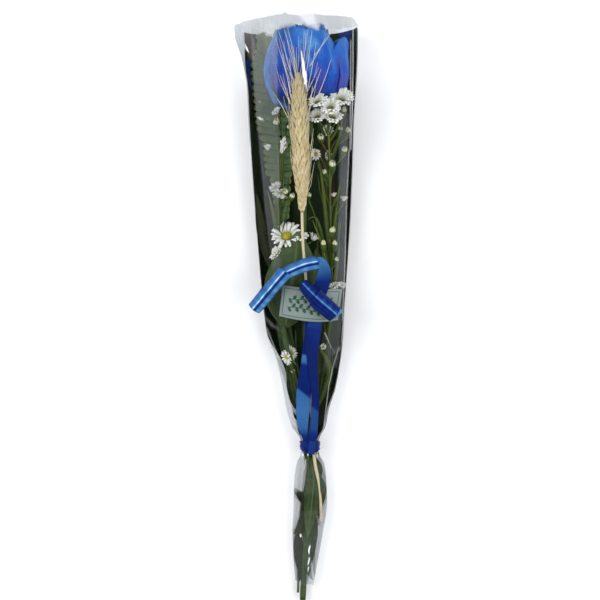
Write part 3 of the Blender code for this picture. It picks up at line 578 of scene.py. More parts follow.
def paper_material():
    mat, shader = plain("sticker_paper", Roughness=0.5, Specular_IOR_Level=0.2)
    fibres = noise(mat, 1.1, 5.0)
    paper = ramp(mat, fibres, (0.2, (0.17, 0.215, 0.2)), (0.8, (0.22, 0.27, 0.25)))
    join(mat, shader, Base_Color=paper)
    bumped(mat, shader, fibres, 0.15, 0.1)
    return mat


def print_material():
    mat, shader = plain("sticker_print", Roughness=0.5)
    ink = ramp(mat, noise(mat, 2.0, 3.0), (0.3, (0.004, 0.05, 0.025)), (0.8, (0.012, 0.11, 0.05)))
    join(mat, shader, Base_Color=ink)
    return mat


def liner_material():
    """The dark sheet behind the flowers: green-black, its near-black also painted shade for the
    deep shade among the greenery, with browner, bluer and greyer patches.

    along, across and tint are the shares of brown, blue and grey.
    """
    mat, shader = plain("liner_sheet", Roughness=0.55, Specular_IOR_Level=0.08)
    brown, blue, grey = (mark(mat, name) for name in MARKS)
    # Near-black greens: the sheet's colour, which also stands as painted shade deep inside the
    # sleeve.
    patches = ramp(mat, noise(mat, 0.05, 4.0, (1, 0.3, 1)), (0.3, (0.003, 0.006, 0.003)),
                   (0.55, (0.008, 0.018, 0.005)), (0.78, (0.02, 0.035, 0.01)))
    browned = blend(mat, brown, patches, (0.035, 0.019, 0.009))
    blued = blend(mat, blue, browned, (0.012, 0.04, 0.22))
    join(mat, shader, Base_Color=blend(mat, grey, blued, (0.25, 0.20, 0.19)))
    bumped(mat, shader, noise(mat, 0.25, 3.0, (1, 0.2, 1)), 0.3, 0.8)
    return mat


def film_material():
    """Clear film: see-through, with a faint gloss, more where it slants, and veils of pale film,
    with painted reflections and painted highlights among them.

    tint is the share of the veils, painted reflections and painted highlights, and along their
    whiteness.
    """
    mat, shader = plain("clear_film", Roughness=0.14, IOR=1.5)
    tint, white = mark(mat, "tint"), mark(mat, "along")
    crinkle = noise(mat, 0.22, 4.0, (1, 0.12, 1))
    # Painted reflections in thin stripes along the film, which break up its veils and painted
    # light.
    reflection_streaks = ramp(mat, noise(mat, 0.8, 3.0, (1, 0.03, 1)), (0.38, BLACK), (0.7, WHITE))
    pale_and_painted_light = times(mat, tint, plus(mat, 0.88, times(mat, reflection_streaks, 0.24)), clamp=True)
    shade = ramp(mat, white, (0.0, (0.13, 0.145, 0.135)), (0.5, (0.41, 0.43, 0.45)),
                 (1.0, (0.95, 0.97, 1.0)))
    # Under all veils, painted reflections and painted highlights the film takes its pale colour.
    pale_and_painted_mask = times(mat, pale_and_painted_light, 20.0, clamp=True)
    join(mat, shader, Base_Color=blend(mat, pale_and_painted_mask, (0.01, 0.01, 0.01), shade))
    bumped(mat, shader, crinkle, 0.5, 1.2)
    clear = node(mat, "BsdfTransparent", {"Color": FILM_TINT})
    edge = node(mat, "LayerWeight", {"Blend": 0.18}).outputs["Facing"]
    gloss = plus(mat, times(mat, edge, FILM_EDGE_GLOSS), FILM_GLOSS)
    share = plus(mat, gloss, pale_and_painted_light, clamp=True)
    mixed = node(mat, "MixShader", {0: share, 1: clear.outputs[0], 2: shader.outputs[0]})
    out = next(n for n in mat.node_tree.nodes if n.type == "OUTPUT_MATERIAL")
    mat.node_tree.links.new(mixed.outputs[0], out.inputs["Surface"])
    return mat


# Film and liner

# Painted highlights on the front film, in pixels of the photograph: glare, glints and faint painted
# reflections along its creases.
# Each stroke: places, half width at each place, softness, strength.
GLARE = [
    ([(306, 12), (310, 20), (317, 28)], (8.0, 6.0, 1.0), 6.0, 0.75),
    ([(301.6, 51), (302.6, 60), (304.6, 74), (305.8, 82), (306.4, 89)], (0.4, 1.0, 1.8, 1.7, 0.2),
     0.6, 1.0),
    ([(301.0, 40), (301.6, 51)], (0.2, 0.4), 1.4, 0.35),
    ([(353.0, 24), (353.0, 70), (352.4, 110), (351.0, 150)], (0.3, 0.3, 0.4, 0.2), 0.8, 0.55),
    ([(350.8, 40), (350.6, 90), (350.0, 150)], (0.3, 0.5, 0.3), 1.6, 0.35),
    ([(349.0, 150), (346.5, 200), (345.0, 260), (342.5, 320)], (0.5, 0.6, 0.6, 0.4), 1.0, 0.32),
    ([(250.2, 142), (250.8, 165), (251.6, 192)], (0.2, 0.5, 0.2), 0.6, 0.7),
    ([(244.7, 43), (246.4, 48), (248.8, 53)], (0.1, 0.9, 0.2), 0.6, 0.95),
    ([(257.5, 117.5), (261, 119), (264, 120.5)], (0.5, 1.5, 0.4), 0.8, 0.6),
    ([(267.5, 118.5), (269.5, 119)], (0.8, 0.5), 1.0, 0.25),
    ([(257.5, 101), (260, 101.5)], (0.2, 0.5), 0.6, 0.45),
    ([(264.5, 143.5), (267.5, 144.5)], (0.4, 0.6), 0.8, 0.25),
    ([(264.0, 328), (270.0, 343), (276.0, 357), (282, 374), (287.5, 392)],
     (0.2, 0.5, 0.3, 0.4, 0.2), 0.7, 0.34),
    ([(325, 333), (330, 345), (335, 354)], (0.5, 0.4, 0.2), 0.8, 0.3),
    ([(265, 317), (272, 325), (281, 331)], (1.2, 2.2, 0.5), 3.0, 0.05),
    ([(267, 328), (273, 344), (280, 361)], (0.5, 0.8, 0.4), 1.2, 0.14),
    ([(330, 356), (337, 350), (342, 347)], (0.6, 3.0, 1.0), 2.0, 0.09),
    ([(339, 347), (333, 367), (329, 385), (325, 416), (323, 433)], (0.4, 0.4, 0.35, 0.3, 0.2), 0.8,
     0.32),
    ([(345.5, 296), (343, 326), (341.5, 344)], (0.3, 0.5, 0.3), 0.8, 0.35),
    ([(289.5, 373), (292.5, 371.3), (295, 370)], (0.1, 0.5, 0.1), 0.7, 0.4),
    ([(310.2, 545.5), (309.0, 549.5), (309.0, 554)], (0.6, 0.8, 0.4), 0.5, 0.9),
    ([(309.4, 558.5), (308.2, 564)], (0.7, 0.6), 0.5, 0.85),
    ([(308.6, 567), (308.0, 571)], (0.6, 0.4), 0.6, 0.7),
    ([(300.6, 535.0), (300.7, 536.6)], (0.8, 0.8), 0.5, 0.95),
    ([(301.0, 452.5), (302.8, 454.5), (301.4, 457)], (0.4, 0.9, 0.2), 0.7, 0.85),
    ([(307.6, 452), (308.0, 455.5)], (0.4, 0.5), 0.6, 0.85),
    ([(317.2, 455), (317.6, 457)], (0.5, 0.5), 0.5, 0.85),
    ([(306.2, 459), (304.6, 466), (304.0, 470)], (0.25, 0.35, 0.2), 0.6, 0.6),
]
# Broad painted reflections on the front film, pale streaky bands: y in pixels, left edge, right
# edge and strength.
LEFT_REFLECTION = np.array([
    (26, 251, 277.4, 0.32), (56, 252, 277.4, 0.32), (100, 255.0, 277.6, 0.26),
    (130, 257.5, 279, 0.20), (176, 262, 280, 0.22), (210, 265, 279, 0.20), (250, 270, 279, 0.14),
    (300, 276, 284, 0.06), (330, 279, 286, 0.0),
])
RIGHT_REFLECTION = np.array([
    (90, 340, 347, 0.0), (120, 340, 348.5, 0.18), (200, 339, 347, 0.27), (260, 336, 345, 0.26),
    (300, 334, 343, 0.20), (330, 330, 341, 0.16), (366, 324, 338, 0.08), (369, 326, 336, 0.02),
    (420, 318, 326, 0.02), (440, 318, 326, 0.0),
])
# The pale band along the open end, pale film that is partly painted reflection: x in pixels, and
# the y of its lower edge.
BAND_EDGE = np.array([
    (228, 31), (242, 30), (255, 30.4), (273, 34.8), (275, 31), (283.6, 27.5), (294, 26),
    (296, 24.6), (309.5, 25.5), (313, 27.5), (318, 29), (319.4, 25), (323, 24.5), (326, 29),
    (336, 29.5), (354, 27), (364, 26),
])
# The back film: y in pixels, share and whiteness. The front film's tail in the same way.
BACK_PALE = np.array([
    (0, 0.74, 0.95), (75, 0.72, 0.95), (100, 0.4, 0.2), (330, 0.35, 0.2), (375, 0.66, 0.8),
    (440, 0.78, 0.85), (600, 0.85, 0.78),
])
FRONT_PALE = np.array([
    (0, 0.0, 0.0), (452, 0.0, 0.3), (474, 0.07, 0.12), (494, 0.06, 0.12), (497, 0.0, 0.3),
    (509, 0.0, 0.3), (513, 0.07, 0.15), (533, 0.06, 0.15), (538, 0.08, 0.3), (600, 0.08, 0.3),
])
# Where leaves lie under the tail's film: y in pixels, left and right. The film beside is paler.
TAIL_LEAVES = np.array([
    (452, 303, 319), (465, 307, 322), (480, 305.5, 327), (491, 303.4, 326.4),
    (492.5, 292.8, 326.3), (497, 296, 326.1), (504, 300.8, 325), (520, 297.5, 318), (534, 292, 318),
    (552, 293, 315), (570, 294, 311), (586, 296, 306), (600, 296, 306),
])
# A smooth stretch at the left where the film stands clear of the leaves, given as the painted
# reflections are.
WING_VEIL = np.array([
    (366, 277, 280, 0.0), (372, 278, 282, 0.5), (386, 279, 286, 0.7), (405, 283.5, 291, 0.75),
    (424, 288, 296, 0.7), (440, 296, 301, 0.6),
])
# How softly the painted reflections and the wing end at their left and right, in pixels.
PAINTED_REFLECTIONS = ((LEFT_REFLECTION, 1.4, 0.8), (RIGHT_REFLECTION, 4.0, 3.0))
WING = (WING_VEIL, 0.8, 0.8)
# How white the film is in its painted reflections, its band, its wing and its painted glare.
REFLECTION_WHITE, BAND_WHITE, WING_WHITE, GLARE_WHITE = 0.2, 0.5, 0.6, 1.0
BAND_STRENGTH, BAND_SOFT = 0.8, 1.4
# Beside the tail's leaves: whiteness, and share from this pixel row down.
BESIDE_WHITE, BESIDE_SHARE, BESIDE_FROM, BESIDE_SOFT = 0.68, 0.30, 452, 1.2


# Patches of the dark liner that show browner, bluer and greyer, as strokes like those above.
LINER_BROWN = [
    ([(327, 128), (328, 200)], (6.0, 7.0), 5.0, 1.0),
    ([(347, 200), (345, 330), (338, 380)], (1.2, 1.2, 0.8), 1.5, 1.0),
    ([(343, 28), (345, 42)], (3.0, 2.0), 3.0, 1.0),
]
LINER_BLUE = [
    ([(248.5, 62), (250.5, 82), (252, 92)], (2.5, 2.5, 0.5), 1.5, 1.0),
    ([(345, 30), (346, 52)], (6.0, 3.0), 4.0, 0.8),
]
LINER_GREY = [
    ([(247, 30), (249, 44), (252, 60)], (4.0, 5.0, 2.0), 3.0, 1.0),
]


def stroke_strength(places, line, halves, softness):
    """How strongly a soft stroke covers each place."""
    line = np.array(line, float)
    best = np.full(len(places), -1e9)
    for k in range(len(line) - 1):
        a, d = line[k], line[k + 1] - line[k]
        t = np.clip(((places - a) @ d) / max(d @ d, 1e-9), 0.0, 1.0)
        away = np.linalg.norm(places - a - t[:, None] * d, axis=1)
        best = np.maximum(best, (halves[k] + t * (halves[k + 1] - halves[k])) - away)
    return smooth_step(best / softness + 0.5)


def strokes_strength(places, strokes):
    """How strongly the strongest of some strokes covers each place."""
    covers = [stroke_strength(places, *stroke) * strength for *stroke, strength in strokes]
    return np.max(covers, axis=0)


# How strongly a band between two edges covers each place: a painted reflection, and the wing.
def veil_and_reflection_strength(places, pale_and_painted_light, left_soft, right_soft):
    left, right, strength = (lookup(pale_and_painted_light, places[:, 1], k) for k in (1, 2, 3))
    inside = (places[:, 1] > pale_and_painted_light[0, 0] - 3) & (places[:, 1] < pale_and_painted_light[-1, 0])
    from_left = smooth_step((places[:, 0] - left) / left_soft + 0.5)
    from_right = smooth_step((right - places[:, 0]) / right_soft + 0.5)
    return np.where(inside, from_left * from_right * strength, 0.0)


def film_wrinkle(y, angle):
    """How far the film is drawn in: soft flutes, tight gathers at the tie, folds in its tail."""
    flutes = 0.25 * (1 + np.sin(6 * angle + 0.021 * y + 1.2))
    flutes = flutes + 0.12 * (1 + np.sin(11 * angle - 0.034 * y))
    near = np.exp(-((y - NECK[1]) / 20.0) ** 2)
    gathers = 0.32 * (1 + np.sin(15 * angle + 0.6 * np.sin(0.11 * y))) * near
    tail = 0.3 * (1 + np.sin(7 * angle + 0.09 * y)) * smooth_step((-118 - y) / 12)
    return np.clip(flutes * (1 - near), 0.0, 1.0) + gathers + 0.5 * tail


def film():
    """The sleeve's film, with its open edges and its patches of paler film."""
    rows, front, back = 330, 120, 70
    top, top_bend, low_bend = 226.0, 26.0, 24.0
    turns = np.concatenate([np.linspace(0, math.pi, front, endpoint=False),
                            np.linspace(math.pi, 2 * math.pi, back, endpoint=False)])
    ys = np.linspace(TAIL_EDGE_Y, top, rows)
    y, angle = np.meshgrid(ys, turns, indexing="ij")
    grid = sleeve_points(y, angle, film_wrinkle(y, angle))
    up = np.sin(turns)
    x_end = grid[-1, :, 0]
    front_edge = lookup(TOP_EDGE, x_end)
    back_edge = BACK_EDGE_Y + 0.8 * np.sin(0.21 * x_end)
    edge = np.where(up >= 0, front_edge, back_edge + (front_edge - back_edge) * np.exp(up * 9.0))
    tail = TAIL_EDGE_Y - 2.0 * np.cos(turns) - 1.5 * np.abs(up)
    bent = smooth_step((ys - (top - top_bend)) / top_bend)[:, None]
    grid[:, :, 1] += bent * (edge - top)[None, :]
    bent = smooth_step((TAIL_EDGE_Y + low_bend - ys) / low_bend)[:, None]
    grid[:, :, 1] += bent * (tail - TAIL_EDGE_Y)[None, :]

    places = photo_place(grid).reshape(-1, 2)
    across, down = places[:, 0], places[:, 1]
    # Painted reflections of the room on the front film.
    painted_reflection = sum(veil_and_reflection_strength(places, *pale_and_painted_light) for pale_and_painted_light in PAINTED_REFLECTIONS)
    # The pale band along the open end: pale film, partly painted reflection.
    band = BAND_STRENGTH * smooth_step((lookup(BAND_EDGE, across) - down) / BAND_SOFT + 0.5)
    wing = veil_and_reflection_strength(places, *WING)
    glare = np.maximum(0.0, strokes_strength(places, GLARE))
    beside = np.max([smooth_step(side * (across - lookup(TAIL_LEAVES, down, k)) / BESIDE_SOFT + 0.5)
                     for k, side in ((1, -1), (2, 1))], axis=0)
    tail_share, tail_white = (lookup(FRONT_PALE, down, k) for k in (1, 2))
    tail_white = tail_white + (BESIDE_WHITE - tail_white) * beside
    tail_share = tail_share + (BESIDE_SHARE - tail_share) * beside * (down > BESIDE_FROM)
    layers = [(painted_reflection, REFLECTION_WHITE), (band, BAND_WHITE), (wing, WING_WHITE), (glare, GLARE_WHITE),
              (tail_share, tail_white)]
    share = np.max([cover for cover, _ in layers], axis=0)
    total = sum(cover**2 for cover, _ in layers)
    white = sum(cover**2 * value for cover, value in layers) / np.maximum(total, 1e-6)
    back_share, back_white = (lookup(BACK_PALE, down, k) for k in (1, 2))
    facing = np.repeat((up >= 0.02)[None, :], rows, axis=0).reshape(-1)
    surface = Surface()
    faces = grid_faces(rows, front + back, closed=True)
    whiteness = np.where(facing, white, back_white)
    surface.add(grid, faces, whiteness, 0.0, np.where(facing, np.clip(share, 0, 1), back_share))
    surface.build("film_sleeve", film_material(), "clear_film", "sleeve")


def liner():
    rows, columns = 120, 60
    low, top, bend = -108.0, 222.0, 32.0
    ys = np.linspace(low, top, rows)
    left, right = (smooth_lookup(LINER_EDGES, ys, k) for k in (1, 2))
    centre, half = section_at(ys)[:2]
    depth = np.interp(ys, [low, -85.0, -60.0], [2.0, 1.9, 1.0])
    half = half - depth
    first = np.arccos(np.clip((left - centre) / half, -1, 1))
    last = np.arccos(np.clip((right - centre) / half, -1, 1))
    share = np.linspace(0, 1, columns)[None, :]
    turns = -(first[:, None] * (1 - share) + last[:, None] * share)
    waves = 0.9 * np.sin(-turns) ** 2 + 0.12 * (1 + np.sin(9 * turns))
    grid = sleeve_points(ys[:, None], turns, depth[:, None] + waves)
    edge = lookup(LINER_TOP, grid[-1, :, 0])
    grid[:, :, 1] += smooth_step((ys - (top - bend)) / bend)[:, None] * (edge - top)[None, :]
    surface = Surface()
    surface.slab(grid, 0.4)
    places = np.tile(photo_place(grid).reshape(-1, 2), (2, 1))
    for channel, strokes in enumerate((LINER_BROWN, LINER_BLUE, LINER_GREY)):
        surface.marks[0][:, channel] = strokes_strength(places, strokes)
    surface.build("dark_liner", liner_material(), "liner_sheet", "liner")


# Rose


# How a petal swells: the share of its height, and the share of its radius there, up to its fullest.
SWELL = np.array([(0, 0.22), (0.03, 0.46), (0.09, 0.71), (0.21, 0.85), (0.38, 0.96), (0.52, 1.0)])
FULLEST = SWELL[-1, 0]
# Petals beyond this radius have a calmer rim that drops further at its corners.
WIDE_RADIUS, RUFFLE, WIDE_RUFFLE, DROP, WIDE_DROP = 33.0, 0.95, 0.35, 0.14, 0.22
# The strokes on the petals show from this height up, and lower down right of a pixel column.
MARKS_FROM, RIGHT_MARKS_FROM, RIGHT_MARKS_U, MARKS_SOFT = 48.0, 36.0, 334.0, 8.0
# The turn between one leaf or floret and the next, in radians.
SPIRAL_TURN = 2.4


def petal(turn, radius, height, spread, top, curl, ruffle, phase, notch, rows=22, columns=25,
          skew=0.04, drop=DROP):
    """One cupped petal round the rose's axis, rolled at its rim.

    Turn 0 faces up, top is how far the petal closes, skew opens one edge, notch dents the rim and
    drop lowers its corners.
    """
    v = np.linspace(0.0, 1.0, rows)[:, None]
    u = np.linspace(-1.0, 1.0, columns)[None, :]
    swell = smooth_lookup(SWELL, v)
    closing = 1.0 + (top - 1.0) * (np.maximum(0.0, v - FULLEST) / (1.0 - FULLEST)) ** 1.8
    swell = np.where(v > FULLEST, closing, swell)
    span = spread * (0.45 + 0.55 * np.sin(math.pi / 2 * np.minimum(1.0, v / 0.4)))
    span = span * (1.0 - 0.34 * np.maximum(0.0, (v - 0.66) / 0.34) ** 2)
    lip = np.maximum(0.0, (v - 0.82) / 0.18)
    edge = np.maximum(0.0, (np.abs(u) - 0.75) / 0.25)
    wave = ruffle * np.sin(4.3 * u + phase) * v**4
    wave = wave + 0.5 * ruffle * np.sin(9.0 * u + 2 * phase) * v**5
    dents = 0.35 * np.sin(6.0 * u + 5.0 * v + phase) * np.sin(7.0 * v + 2 * phase) * v
    rolled = curl * (1 - np.cos(1.5 * lip)) + 0.25 * curl * edge**2 * v
    r = radius * swell * (1.0 + skew * u) + rolled + wave + dents
    rim = 1.0 - drop * np.abs(u) ** 2.6 * v - notch * np.exp(-((u - 0.15) / 0.16) ** 2) * v**3
    h = height * v * rim - 0.5 * abs(curl) * lip**2 + 0.5 * ruffle * np.sin(7.0 * u + phase) * v**6
    a = turn + u * span
    return ROSE_BASE + np.stack([r * np.sin(a), h + 0 * a, r * np.cos(a) * ROSE_FLATTEN], axis=-1)


# Sky-blue and violet patches on the rose's front petals, as strokes like those on the film. One
# violet stroke is painted shade in a crevice between two petals.
PETAL_SKY = [
    ([(304, 30), (312, 46), (320, 54)], (4.0, 7.0, 3.0), 9.0, 0.9),
    ([(309, 56), (311, 74)], (3.0, 1.5), 4.0, 0.7),
    ([(324, 30), (330, 44)], (4.0, 3.0), 7.0, 0.6),
    ([(266, 55), (266, 80)], (2.0, 2.0), 6.0, 0.35),
    ([(347, 44), (348, 66)], (2.0, 1.0), 4.0, 0.5),
    ([(297, 26), (300, 34), (300, 60)], (3.0, 2.0, 1.0), 5.0, 0.6),
    ([(287, 29), (290, 46)], (2.0, 1.0), 4.0, 0.4),
    ([(331, 50), (335, 72)], (2.0, 1.0), 4.0, 0.4),
]
PETAL_VIOLET_AND_SHADE = [
    ([(317, 66), (321, 78), (318, 92)], (2.0, 3.6, 1.6), 5.0, 0.6),
    ([(280, 40), (281, 58), (280, 84)], (1.0, 2.5, 1.0), 5.0, 0.4),
    ([(310, 32), (312, 42)], (1.5, 1.5), 4.0, 0.35),
    # Painted shade in the crevice between two front petals.
    ([(339, 56), (340, 84)], (1.0, 1.6), 3.0, 0.7),
    ([(270, 84), (277, 100)], (2.0, 4.0), 5.0, 0.2),
]


def rose_petals():
    """The bloom: closed rings of petals, and outer ones that are placed one by one.

    Layers: count, radius, height, half spread, closing, curl, first turn, tint.
    Outer: turn, radius, height, half spread, closing, curl, tint, notch, skew.
    """
    layers = [
        (3, 6.5, 66.0, 80, 0.55, 0.0, 5, 0.25),
        (3, 11.0, 68.5, 74, 0.64, 0.3, 50, 0.6),
        (4, 16.2, 70.5, 60, 0.74, 0.6, 20, 0.75),
        (4, 20.6, 71.5, 56, 0.78, 1.0, 62, 0.6),
        (5, 24.4, 70.0, 52, 0.80, 1.4, 36, 0.5),
    ]
    outer = [
        (-62, 31.0, 66.5, 60, 0.66, 1.2, 0.55, 0.02, 0.04),
        (-14, 28.6, 69.0, 40, 0.80, 1.4, 0.30, 0.05, 0.04),
        (26, 30.4, 66.5, 50, 0.80, 1.6, 0.42, 0.03, 0.02),
        (114, 35.4, 61.0, 52, 0.86, 1.6, 0.20, 0.0, 0.04),
        (88, 36.4, 60.5, 46, 0.92, 1.4, 0.08, 0.0, 0.19),
        (172, 29.4, 62.0, 52, 0.86, 2.0, 0.2, 0.0, 0.04),
        (-128, 29.0, 60.0, 44, 0.80, 2.0, 0.2, 0.02, 0.04),
    ]
    surface = Surface()
    for count, radius, height, spread, top, curl, first, tint in layers:
        for k in range(count):
            turn = math.radians(first + 360.0 * k / count)
            grid = petal(turn, radius, height - 1.6 * (k % 2), math.radians(spread), top, curl,
                         ruffle=0.9, phase=1.7 * k + radius, notch=0.02)
            surface.slab(grid, 0.55, tint)
    for k, (turn, radius, height, spread, top, curl, tint, notch, skew) in enumerate(outer):
        ruffle, drop = (WIDE_RUFFLE, WIDE_DROP) if radius > WIDE_RADIUS else (RUFFLE, DROP)
        grid = petal(math.radians(turn), radius, height, math.radians(spread), top, curl, ruffle,
                     0.9 * k + 0.4, notch, rows=30, columns=35, skew=skew, drop=drop)
        surface.slab(grid, 0.6, tint)
    core = [(-3.0, 0.0), (-2.5, 6.5), (1.0, 9.6), (7.0, 9.6), (30.0, 8.0), (52.0, 4.0), (60.0, 0.5)]
    surface.turned(ROSE_BASE, (0, 1, 0), core, 16, 0.1)
    for points, marks in zip(surface.points, surface.marks):
        places = photo_place(points)
        lowest = np.where(places[:, 0] > RIGHT_MARKS_U, RIGHT_MARKS_FROM, MARKS_FROM)
        front = smooth_step((points[:, 2] - lowest) / MARKS_SOFT)
        sky, violet = (strokes_strength(places, strokes) for strokes in (PETAL_SKY, PETAL_VIOLET_AND_SHADE))
        marks[:, 2] = marks[:, 2] * (1 - front) + front * (sky - violet)
    surface.build("rose_bloom", petal_material(), "rose_petals", "rose_petals")


def blade(through, width, along, across, cup=0.15, tip=0.04, root=0.1, up=(0, 0, 1), wave=0.0,
          full=0.85):
    """A leaf blade along a curve, cupped across.

    tip and root are its least width there, wave ripples its rims, and full is where it is widest:
    nearer to the root the smaller.
    """
    line = curve_through(through, along)
    ahead = directions(line)
    side = unit(np.cross(ahead, np.array(up, float)))
    normal = np.cross(side, ahead)
    v = np.linspace(0, 1, along)
    half = 0.5 * width * np.maximum(np.sin(math.pi * v**full) ** 0.8, root * (1 - v) + tip * v)
    u = np.linspace(-1, 1, across)
    grid = line[:, None] + side[:, None] * (half[:, None] * u)[..., None]
    rise = cup * half[:, None] * u**2 + wave * np.sin(7.0 * v + 1.0)[:, None] * u**2 * np.sign(u)
    return grid + normal[:, None] * rise[..., None]


def rose_stem():
    base = ROSE_BASE - (0.0, 3.4, 0.0)
    through = [
        (4.2, -238.6, 5.0), (6.2, -200, 5.6), (8.4, -160, 6.6), *through_neck("rose", -128),
        (7.6, -60, 11.5), (6.0, 0, 17.0), (4.8, 75, 25.5), (4.0, 125, 33.0),
        tuple(base - (0.0, 6.0, 0.2)),
    ]
    line = curve_through(through, 90)
    surface = Surface()
    surface.tube(line, 2.4 + 0.12 * np.sin(np.arange(90) * 0.9), 14, 0.2)
    ahead = directions(line)
    for k, at in enumerate((8, 21, 52, 61, 70, 78)):
        turn = SPIRAL_TURN * k
        out = np.array((math.cos(turn), 0.0, math.sin(turn)))
        out = unit(out - ahead[at] * ahead[at][0] * math.cos(turn))
        thorn = [(0, 1.5), (1.0, 0.8), (2.2, 0.3), (3.2, 0.02)]
        surface.turned(line[at] + out * 1.8, out + 0.25 * ahead[at], thorn, 8, 0.9)
    cup = [(-11.0, 1.0), (-10.0, 2.6), (-6.0, 5.4), (-3.5, 6.9), (-1.6, 7.2), (-0.4, 6.6),
           (0.0, 3.0)]
    surface.turned(base, (0, 1, 0), cup, 20, 0.3)
    for k in range(5):
        turn = math.radians(30 + 72 * k)
        out = np.array((math.sin(turn), 0.0, math.cos(turn)))
        root = base + out * 5.5 - (0.0, 2.4, 0.0)
        bend = base + out * 12.0 - (0.0, 5.0, 0.0)
        end = base + out * 15.0 - (0.0, 17.0, 0.0)
        surface.slab(blade([root, bend, end], 5.2, 14, 7, up=out, full=0.6), 0.5, 0.5)
    mat = green_material("rose_green", (0.02, 0.036, 0.010), (0.06, 0.088, 0.032),
                         (0.11, 0.15, 0.05), 0.45, 14.0)
    surface.build("rose_stalk", mat, "rose_green", "rose_stem")


# Fern


def leaflet(root, length, width, side, rise, turn):
    """A fern leaflet: parallel-sided, round-tipped, tilted like a tile, with a scalloped edge."""
    rows, columns, tilt = 14, 7, 0.35
    v = np.linspace(0, 1, rows)
    half = 0.5 * width * np.sqrt(np.clip(1.0 - np.maximum(0.0, (v - 0.72) / 0.30) ** 2, 0.02, 1.0))
    half = half * (0.55 + 0.45 * smooth_step(v / 0.18)) + 0.16 * np.sin(v * 26.0)
    u = np.linspace(-1, 1, columns)
    x = root[0] + side * length * v[:, None] * math.cos(turn)
    x = x - (u * half[:, None]) * math.sin(turn) * side
    y = root[1] + length * v[:, None] * math.sin(turn) + (u * half[:, None]) * math.cos(turn)
    z = root[2] + rise * np.sin(math.pi * 0.5 * v)[:, None] + 0.3 * (1 - u**2)
    z = z - tilt * u * half[:, None] * (0.4 + 0.6 * v[:, None])
    return np.stack([x, y, z + 0 * x], axis=-1)


# The fern's frond: shares of its rib, and the leaflets' reach to the left and right there.
FERN_REACH = np.array([
    (0.34, 6.0, 5.0), (0.42, 9.0, 6.0), (0.46, 9.0, 6.0), (0.49, 15.0, 7.0), (0.60, 17.0, 7.0),
    (0.66, 22.0, 9.0), (0.80, 23.0, 14.0), (0.90, 20.0, 13.0), (0.96, 13.0, 9.0), (1.0, 6.0, 5.0),
])


def fern():
    through = [
        (0.4, -232.6, 4.4), (1.2, -200, 4.8), (2.8, -165, 5.6), *through_neck("fern", above=-97),
        (-1.5, -55, 6.2), (-9.5, 0, 5.2), (-11.5, 60, 5.0), (-11.5, 120, 4.8),
        (-14.5, 170, 5.0), (-24.5, 214, 6.2),
    ]
    line = curve_through(through, 90)
    surface = Surface()
    surface.tube(line, np.interp(np.arange(90), [0, 45, 89], [1.0, 0.9, 0.4]), 8, 0.1)
    fine, pairs, first, curled = 200, 26, 0.34, 0.86
    rib = curve_through(through[7:], fine)
    for k in range(pairs):
        s = first + 0.65 * k / (pairs - 1)
        root = rib[min(fine - 1, int(s * (fine - 2)))]
        for side, column in ((-1.0, 1), (1.0, 2)):
            reach = float(lookup(FERN_REACH, s, column))
            turn = 0.05 + 0.18 * s + 3.0 * max(0.0, s - curled)
            end = root + (side * reach * math.cos(turn), reach * math.sin(turn), 0.0)
            clear = float(floor_z(end[0], end[1])) + 4.0 - root[2]
            width, rise = 6.4 - 5.0 * max(0.0, s - curled), max(clear, 0.4) + 0.4 * (k % 2)
            tint = (0.2 + 0.3 * (k % 3)) * (side < 0) * min(1.0, max(0.0, (s - 0.44) * 12))
            surface.slab(leaflet(root, reach, width, side, rise, turn), 0.45, tint)
    crown_line = [(-22.0, 203.0, 7.0), (-26.5, 212.0, 8.0), (-30.5, 219.6, 8.4)]
    crown = blade(crown_line, 15.0, 22, 9, cup=0.1, tip=0.5, root=0.4)
    ripple = 0.7 * np.sin(np.linspace(0, 22, 22))[:, None, None]
    crown[..., :2] += ripple * np.linspace(-1, 1, 9)[None, :, None] ** 3
    surface.slab(crown, 0.45, 1.7)
    mat = green_material("fern_green", (0.036, 0.070, 0.026), (0.11, 0.165, 0.080),
                         (0.22, 0.26, 0.02), 0.5, 8.0, 0.08)
    surface.build("fern_leaflets", mat, "fern_green", "fern_frond")


# Wheat


# How full the ear is, from its foot to its tip.
EAR_FULLNESS = np.array([
    (0.0, 0.3), (0.12, 0.75), (0.35, 1.15), (0.6, 1.12), (0.82, 0.95), (0.93, 0.6), (1.0, 0.12),
])
HUSK = [(0.0, 0.35), (1.4, 1.15), (3.4, 1.6), (5.8, 1.3), (8.2, 0.5), (9.4, 0.12)]
# Awns taper from one radius to the other. The share of husks with one, and how high the tips reach.
AWN_RADII, LONG_AWN_RADII, AWN_SHARE, AWN_TOP_Y = (0.20, 0.09), (0.27, 0.14), 0.40, 221.0
# The longest awns, in pixels: from the ear to the tip.
LONG_AWNS = [
    (291, 92, 275.5, 38), (294, 84, 278, 29.5), (296, 74, 283.6, 28), (297, 70, 287.5, 28),
    (288, 118, 273, 92), (291, 98, 282, 56), (290, 104, 280, 76), (301, 82, 306, 34),
    (303, 92, 312, 31), (310, 66, 325.5, 38), (314, 56, 332, 31), (318, 96, 331, 60),
    (307, 92, 316, 44), (309, 100, 321, 70), (297, 84, 291, 46),
]


